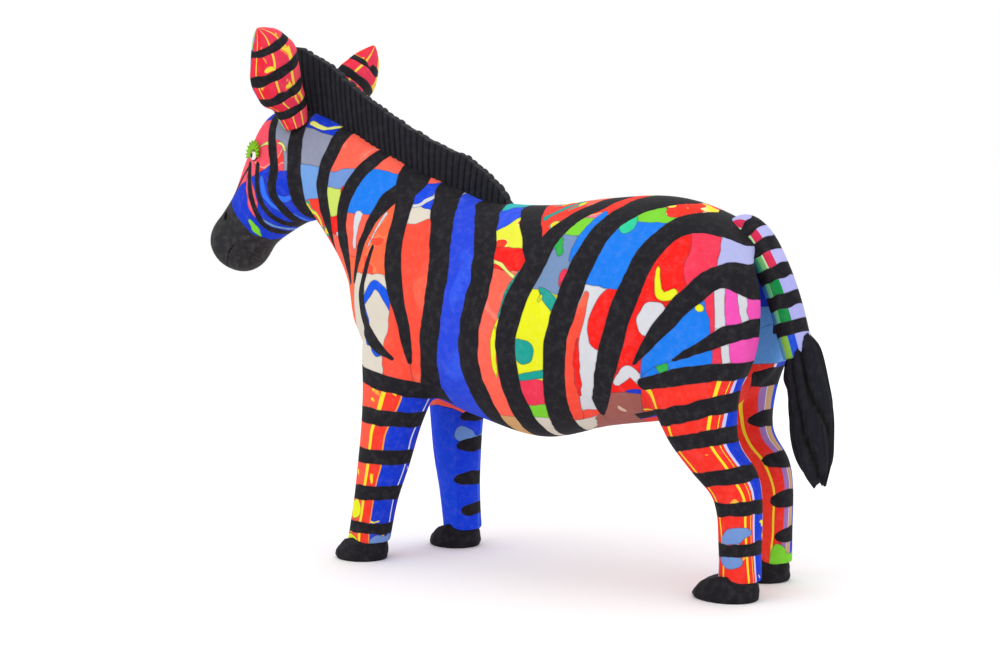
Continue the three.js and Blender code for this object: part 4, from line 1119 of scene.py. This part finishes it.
# ---------------------------------------------------------------- pieces made on a grid of two parameters
def tube_rings(path, n, shape=None):
    """Ovals square to a path that runs in the plane x = 0. shape(t, angle) is the radius factor."""
    d = np.gradient(path[:, :2], axis=0)
    d /= np.linalg.norm(d, axis=1)[:, None]
    th = np.arange(n) * 2 * np.pi / n
    t = np.linspace(0, 1, len(path))[:, None]
    r = path[:, 2, None] * (shape(t, th[None]) if shape else 1.0)
    q = r * np.sin(th)
    y, z = path[:, 0, None] - q * d[:, 1, None], path[:, 1, None] + q * d[:, 0, None]
    return np.stack([r * np.cos(th), y, z], -1)


# Mane: a fin of upright strips. Each strip bulges out between two grooves: the square root of a sine along
# the crest.
crest, foot = spline(CREST, 560), spline(FOOT, 560)
run = np.r_[0, np.cumsum(np.linalg.norm(np.diff(crest, axis=0), axis=1))]
strip = run / STRIP_PITCH
bulge = np.abs(np.sin(np.pi * strip)) ** 0.5
rng = np.random.default_rng(11)
tall = rng.normal(0, 1.0, 80)[strip.astype(int)] * bulge + 1.2 * (bulge - 1)
wide = 7.4 + 2.9 * bulge + rng.normal(0, 0.25, 80)[strip.astype(int)]
q = np.linspace(-1, 1, 33)
rise = 1 - step(0.72, 1.0, np.abs(q)) * 0.10 - np.clip(np.abs(q) - 0.30, 0, 1) ** 0.9 * 1.31
rise = np.clip(rise, 0, 1)
ends = np.minimum(step(-14, 7, run), step(run[-1] + 2, run[-1] - 40, run))
up = crest - foot
up /= np.linalg.norm(up, axis=1)[:, None]
fin_x = wide[:, None] * np.sin(np.clip(np.abs(q) * 1.9, 0, 1) * np.pi / 2) * np.sign(q)
fin_x = fin_x * (0.35 + 0.65 * ends[:, None] ** 0.5)
height = np.linalg.norm(crest - foot, axis=1) + tall - 0.9
level = height[:, None] * rise[None] * (0.25 + 0.75 * ends[:, None] ** 0.6)
low = foot[:, None] + up[:, None] * (level - 3)[..., None]
fin = np.stack([fin_x, low[..., 0], low[..., 1]], -1)
v, f = skin_over(fin)
M = Skin(v, f, 0)
# The groove mask, 1 between the strips, drives the painted shade in the grooves of the mane.
rib = np.r_[np.repeat(1 - bulge, 33), 0, 0]
piece("mane_strips", M.v, M.f, M.n, ["mane"], np.zeros(len(M.f), int), {"rim": 9 + 0 * rib, "groove": rib},
      ["mane"], 0)

# Hooves: rounded blocks that lie low at the toe: the reach forward shrinks faster with height than the
# sides and heel do.
for name, x, y, toe, heel in HOOVES:
    side = 1 if name.endswith("left") else -1
    z = HOOF_HIGH * np.linspace(0, 1, 30)
    k = np.interp(z, [0, 1.2, 5, 14, 21, HOOF_HIGH], [0.92, 0.965, 1.0, 0.98, 0.93, 0.84])[:, None]
    q = np.interp(z, [0, 1.2, 5, 10, 14, 21, HOOF_HIGH], [0.92, 0.965, 1.0, 0.96, 0.90, 0.76, 0.6])[:, None]
    th = np.arange(72) * 2 * np.pi / 72
    s = np.sin(th)
    rings = np.stack([side * x + HOOF_HALF * k * np.cos(th), y + np.where(s > 0, heel * k, toe * q) * s,
                      z[:, None] * (1 - 0.24 * np.clip(-s, 0, 1))], -1)
    v, f = skin_over(rings)
    low = step(0, 3, v[:, 2])
    v = v + normals(v, f) * (0.6 * ripple(v, 14, len(name)) * low)[:, None]
    v[:, 2] = np.maximum(v[:, 2], 0)
    piece("hoof_block_" + name, v, f, normals(v, f), ["black"], np.zeros(len(f), int),
          {"rim": 9 + 0 * v[:, 0]}, ["hoof_" + name], 0)

# Ears: plump leaves bowed forward, with a shallow hollow in the front face and slanting black bands let in.
# The rows are: place up the ear from 0 to 1, shift sideways, half width, half depth, bow.
for tag, side, tip in EAR_TIPS:
    root_at, tip = np.array((side * EAR_ROOT[0], EAR_ROOT[1], EAR_ROOT[2])), np.array(tip, float)
    axis = tip - root_at
    n = axis / np.linalg.norm(axis)
    bow = np.array((-side * 0.25, -0.968, 0))
    face = bow - n * (bow @ n)
    face /= np.linalg.norm(face)
    wide_dir = np.cross(n, face)
    rows = spline(EAR_ROWS, 70)
    th = np.arange(64) * 2 * np.pi / 64
    q, shift, w, d, b = (rows[:, k, None] for k in range(5))
    hollow = 19 * np.clip(np.sin(th), 0, 1) ** 1.5 * np.exp(-((q - 0.50) / 0.27) ** 4)
    centre = root_at + axis * q + bow * b - wide_dir * shift
    rings = centre[:, None] + wide_dir * (w * np.cos(th))[..., None]
    rings = rings + face * (d * np.sin(th) - hollow)[..., None]
    v, f = skin_over(rings)
    E = Skin(v, f, 0)
    length = np.linalg.norm(axis)
    stack = np.array((-0.5, 0.866, 0)) - n * (np.array((-0.5, 0.866, 0)) @ n)

    def ear_place(v):
        """Where a point is on the ear: height up it, place across it, and place through its stack of
        soles."""
        rel = v - root_at
        along = rel @ n
        shift_at, half, bow_at = (np.interp(along / length, rows[:, 0], rows[:, k]) for k in (1, 2, 4))
        off = rel - np.multiply.outer(bow_at, bow) + np.multiply.outer(shift_at, wide_dir)
        turn = np.clip(-(off @ wide_dir) / np.maximum(half, 1), -1, 1)
        return along, turn, np.clip(off @ stack / np.maximum(0.84 * half, 1), -1, 1)

    for k, at in enumerate(EAR_BANDS[tag]):
        along, turn, _ = ear_place(E.v)
        band = EAR_BAND_HALF[k] - np.abs(along - at - EAR_SLANT * turn)
        E.cut(band + 0.9 * ripple(E.v, 22, 500 + k), [0], 1)
    _, _, layer = ear_place(E.v)
    piece("ear_leaf_" + tag, E.v, E.f, E.n, ["ear", "black"], E.label,
          {"rim": E.rims(), "across": (layer + 1) / 2}, ["ear_" + tag], 0)

# Tail: a round rope of layered soles with black bands let in, and a ragged, grooved tuft.
path = spline(TAIL, 90)
v, f = skin_over(tube_rings(path, 56))
T = Skin(v, f, 0)


def along_tail(v):
    """How far down the tail a point is."""
    _, at, _ = segments(v[:, 1:], path)
    run = np.r_[0, np.cumsum(np.hypot(*np.diff(path[:, :2], axis=0).T))]
    return np.interp(at, np.arange(len(path)), run)


T.cut(along_tail(T.v) - 76 + 2 * ripple(T.v, 20, 61), [0], 1)
T.cut(along_tail(T.v) - 131 + 2 * ripple(T.v, 20, 62), [1], 2)
for k, (at, half) in enumerate(TAIL_BANDS):
    s = along_tail(T.v)
    T.cut(half - np.abs(s - at) + 0.9 * ripple(T.v, 18, 510 + k), [0, 1, 2], 3)
dist, _, side_of = segments(T.v[:, 1:], path)
across_tail = np.clip(0.5 + 0.5 * dist * side_of / TAIL_HALF, 0, 1)
piece("tail_rope", T.v, T.f, T.n, ["tail_top", "tail_mid", "tail_low", "black"], T.label,
      {"rim": T.rims(), "across": across_tail}, ["tail"], 0)

path_t = spline(TUFT, 130)
path_t[:, 2] = np.maximum(path_t[:, 2], 1.2)


def locks(t, th):
    """1 on the back of a lock and 0 in the groove between two: a folded sine round the tuft whose phase
    waves along it."""
    return np.abs(np.sin(3.5 * th + 1.1 * np.sin(5.5 * t + 0.4) + 0.9 * np.sin(2 * th + 3 * t))) ** 0.7


def tuft_shape(t, th):
    """Radius of the tuft: seven uneven locks round it, waving down its length, with finer strands on
    them."""
    return 0.72 + 0.26 * locks(t, th) + 0.05 * np.abs(np.sin(14.5 * th + 2.0 * np.sin(3 * t + th)))


rings = tube_rings(path_t, 160, tuft_shape)
t = np.linspace(0, 1, 130)[:, None]
th = np.arange(160) * 2 * np.pi / 160
pull = (5 + 7 * np.sin(3 * th + 0.6) + 3.5 * np.sin(7 * th + 2)) * step(0.72, 1.0, t) * 0.9
back = np.clip((rings[..., 1] - path_t[:, 0, None]) / path_t[:, 2, None], -1, 1)
rings[..., 2] += np.clip(pull, -2, 14) + 13 * back * step(0.34, 0.06, t)
v, f = skin_over(rings)
# The groove mask, 1 between the locks, drives the painted shade in the grooves of the tuft.
lock = locks(t, th)
attrs = {"rim": np.full(len(v), 9.0), "groove": np.r_[(1 - lock).ravel(), 0, 0]}
piece("tail_brush", v, f, normals(v, f), ["tuft"], np.zeros(len(f), int), attrs, ["tail_tuft"],
      0)

# Eyes: a low oval bead in a red rim, a dark pupil, and a toothed lime lash round the top.
for side in (1, -1):
    tag = "left" if side > 0 else "right"
    n = np.array((side * 0.9, -0.4, 0.14))
    n /= np.linalg.norm(n)
    up = np.array((0, 0, 1.0)) - n * n[2]
    up /= np.linalg.norm(up)
    along = np.cross(up, n)
    at = np.array((side * EYE[0], EYE[1], EYE[2]), float)

    def dome(ru, rv, high, sink, count=26, turns=48):
        """A low dome: half an ellipsoid's radius over an oval foot, closed underneath."""
        a = np.linspace(0.02, 0.98, count)[:, None] * np.pi
        th = np.arange(turns) * 2 * np.pi / turns
        flat = at + along * (ru * np.sin(a) * np.cos(th))[..., None]
        flat = flat + up * (rv * np.sin(a) * np.sin(th))[..., None]
        return flat + n * (high * np.cos(a) + sink + 0 * th)[..., None]

    for name, args, mat, nodes, slot in (
            ("eye_bead_", (6.6, 5.4, 4.6, 0.6), "bead", ["eye_white_" + tag], "eye_white"),
            ("eye_dot_", (2.9, 3.3, 2.4, 3.6), "pupil", ["eye_pupil_" + tag], "eye_dark"),
            ("eye_rim_", (7.9, 6.7, 4.0, -0.3), "lid", [], "crimson_foam")):
        v, f = skin_over(dome(*args))
        piece(name + tag, v, f, normals(v, f), [mat], np.zeros(len(f), int), {"rim": np.full(len(v), 9.0)},
              nodes, 0)
    # The lash is a ring sector whose outer edge runs in and out as a saw, thin at the edge.
    u = np.linspace(0, 1, 141)
    ang = np.radians(-8 + 200 * u)
    saw = np.abs((u * 11) % 1 - 0.5) * 2
    outer_r = 10.0 + 8.0 * saw * np.sin(np.pi * np.clip(u, 0.05, 0.95)) ** 0.4
    inner_r, middle_r = np.full_like(u, 6.9), 0.5 * (6.9 + outer_r)
    rad = np.stack([inner_r, middle_r, outer_r, outer_r, middle_r, inner_r], -1)
    lift = np.tile([3.2, 4.4, 5.0, 3.6, 1.0, -2.0], (len(u), 1))
    rings = at + along * (side * rad * np.cos(ang)[:, None])[..., None]
    rings = rings + up * (rad * np.sin(ang)[:, None])[..., None] + n * lift[..., None]
    v, f = skin_over(rings)
    piece("eye_lash_" + tag, v, f, normals(v, f), ["lash"], np.zeros(len(f), int),
          {"rim": np.full(len(v), 9.0)}, ["lash_" + tag], 0)

# The hidden core: offcuts pressed together.
CORE = finish_of("pressed offcut core", marbled("8c8c90", "b05a5a", "5a7ab0", 0.4, 60, 5.0), tone=0.2,
                 dust=0.2, join=0.0, lumps=0.8)
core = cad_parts["foam_core"]
core.data.materials.clear()
core.data.materials.append(CORE)

# ---------------------------------------------------------------- floor, light and camera
bpy.ops.mesh.primitive_plane_add(size=60)
floor = bpy.context.object
floor.name = "pale_floor"
paper = bpy.data.materials.new("pale studio floor")
paper.use_nodes = True
b = paper.node_tree.nodes["Principled BSDF"]
b.inputs["Base Color"].default_value = (1, 1, 1, 1)
b.inputs["Specular IOR Level"].default_value = 0
b.inputs["Roughness"].default_value = 0.9
floor.data.materials.append(paper)


def lamp(name, place, size, power, tint=(1, 1, 1)):
    """A square soft lamp aimed at the middle of the figure."""
    d = bpy.data.lights.new(name, "AREA")
    d.shape, d.size, d.energy, d.color = "SQUARE", size, power, tint
    o = bpy.data.objects.new(name, d)
    o.location = place
    o.rotation_euler = (Vector((0, 0, 0.28)) - Vector(place)).to_track_quat("-Z", "Y").to_euler()
    bpy.context.collection.objects.link(o)


lamp("key", (2.2, -0.6, 2.2), 2.0, 14)
lamp("fill", (1.6, 2.4, 1.2), 2.0, 3)
lamp("top", (-0.3, 0.2, 2.6), 2.4, 10)
lamp("far side", (-2.4, -0.4, 1.4), 2.2, 6)
world = bpy.data.worlds.new("studio air")
world.use_nodes = True
world.node_tree.nodes["Background"].inputs["Color"].default_value = (1, 1, 1, 1)
world.node_tree.nodes["Background"].inputs["Strength"].default_value = 1.0
bpy.context.scene.world = world
bpy.context.scene.view_settings.view_transform = "Standard"

cam = bpy.data.cameras.new("camera")
cam.lens, cam.sensor_width, cam.clip_end = 70.2, 36, 50
eye = bpy.data.objects.new("camera", cam)
bpy.context.collection.objects.link(eye)
eye.location = CAMERA_AT
look = Vector((CAMERA_HEADING[0] * math.cos(CAMERA_DIP), CAMERA_HEADING[1] * math.cos(CAMERA_DIP),
               -math.sin(CAMERA_DIP)))
eye.rotation_euler = look.to_track_quat("-Z", "Y").to_euler()
bpy.context.scene.camera = eye
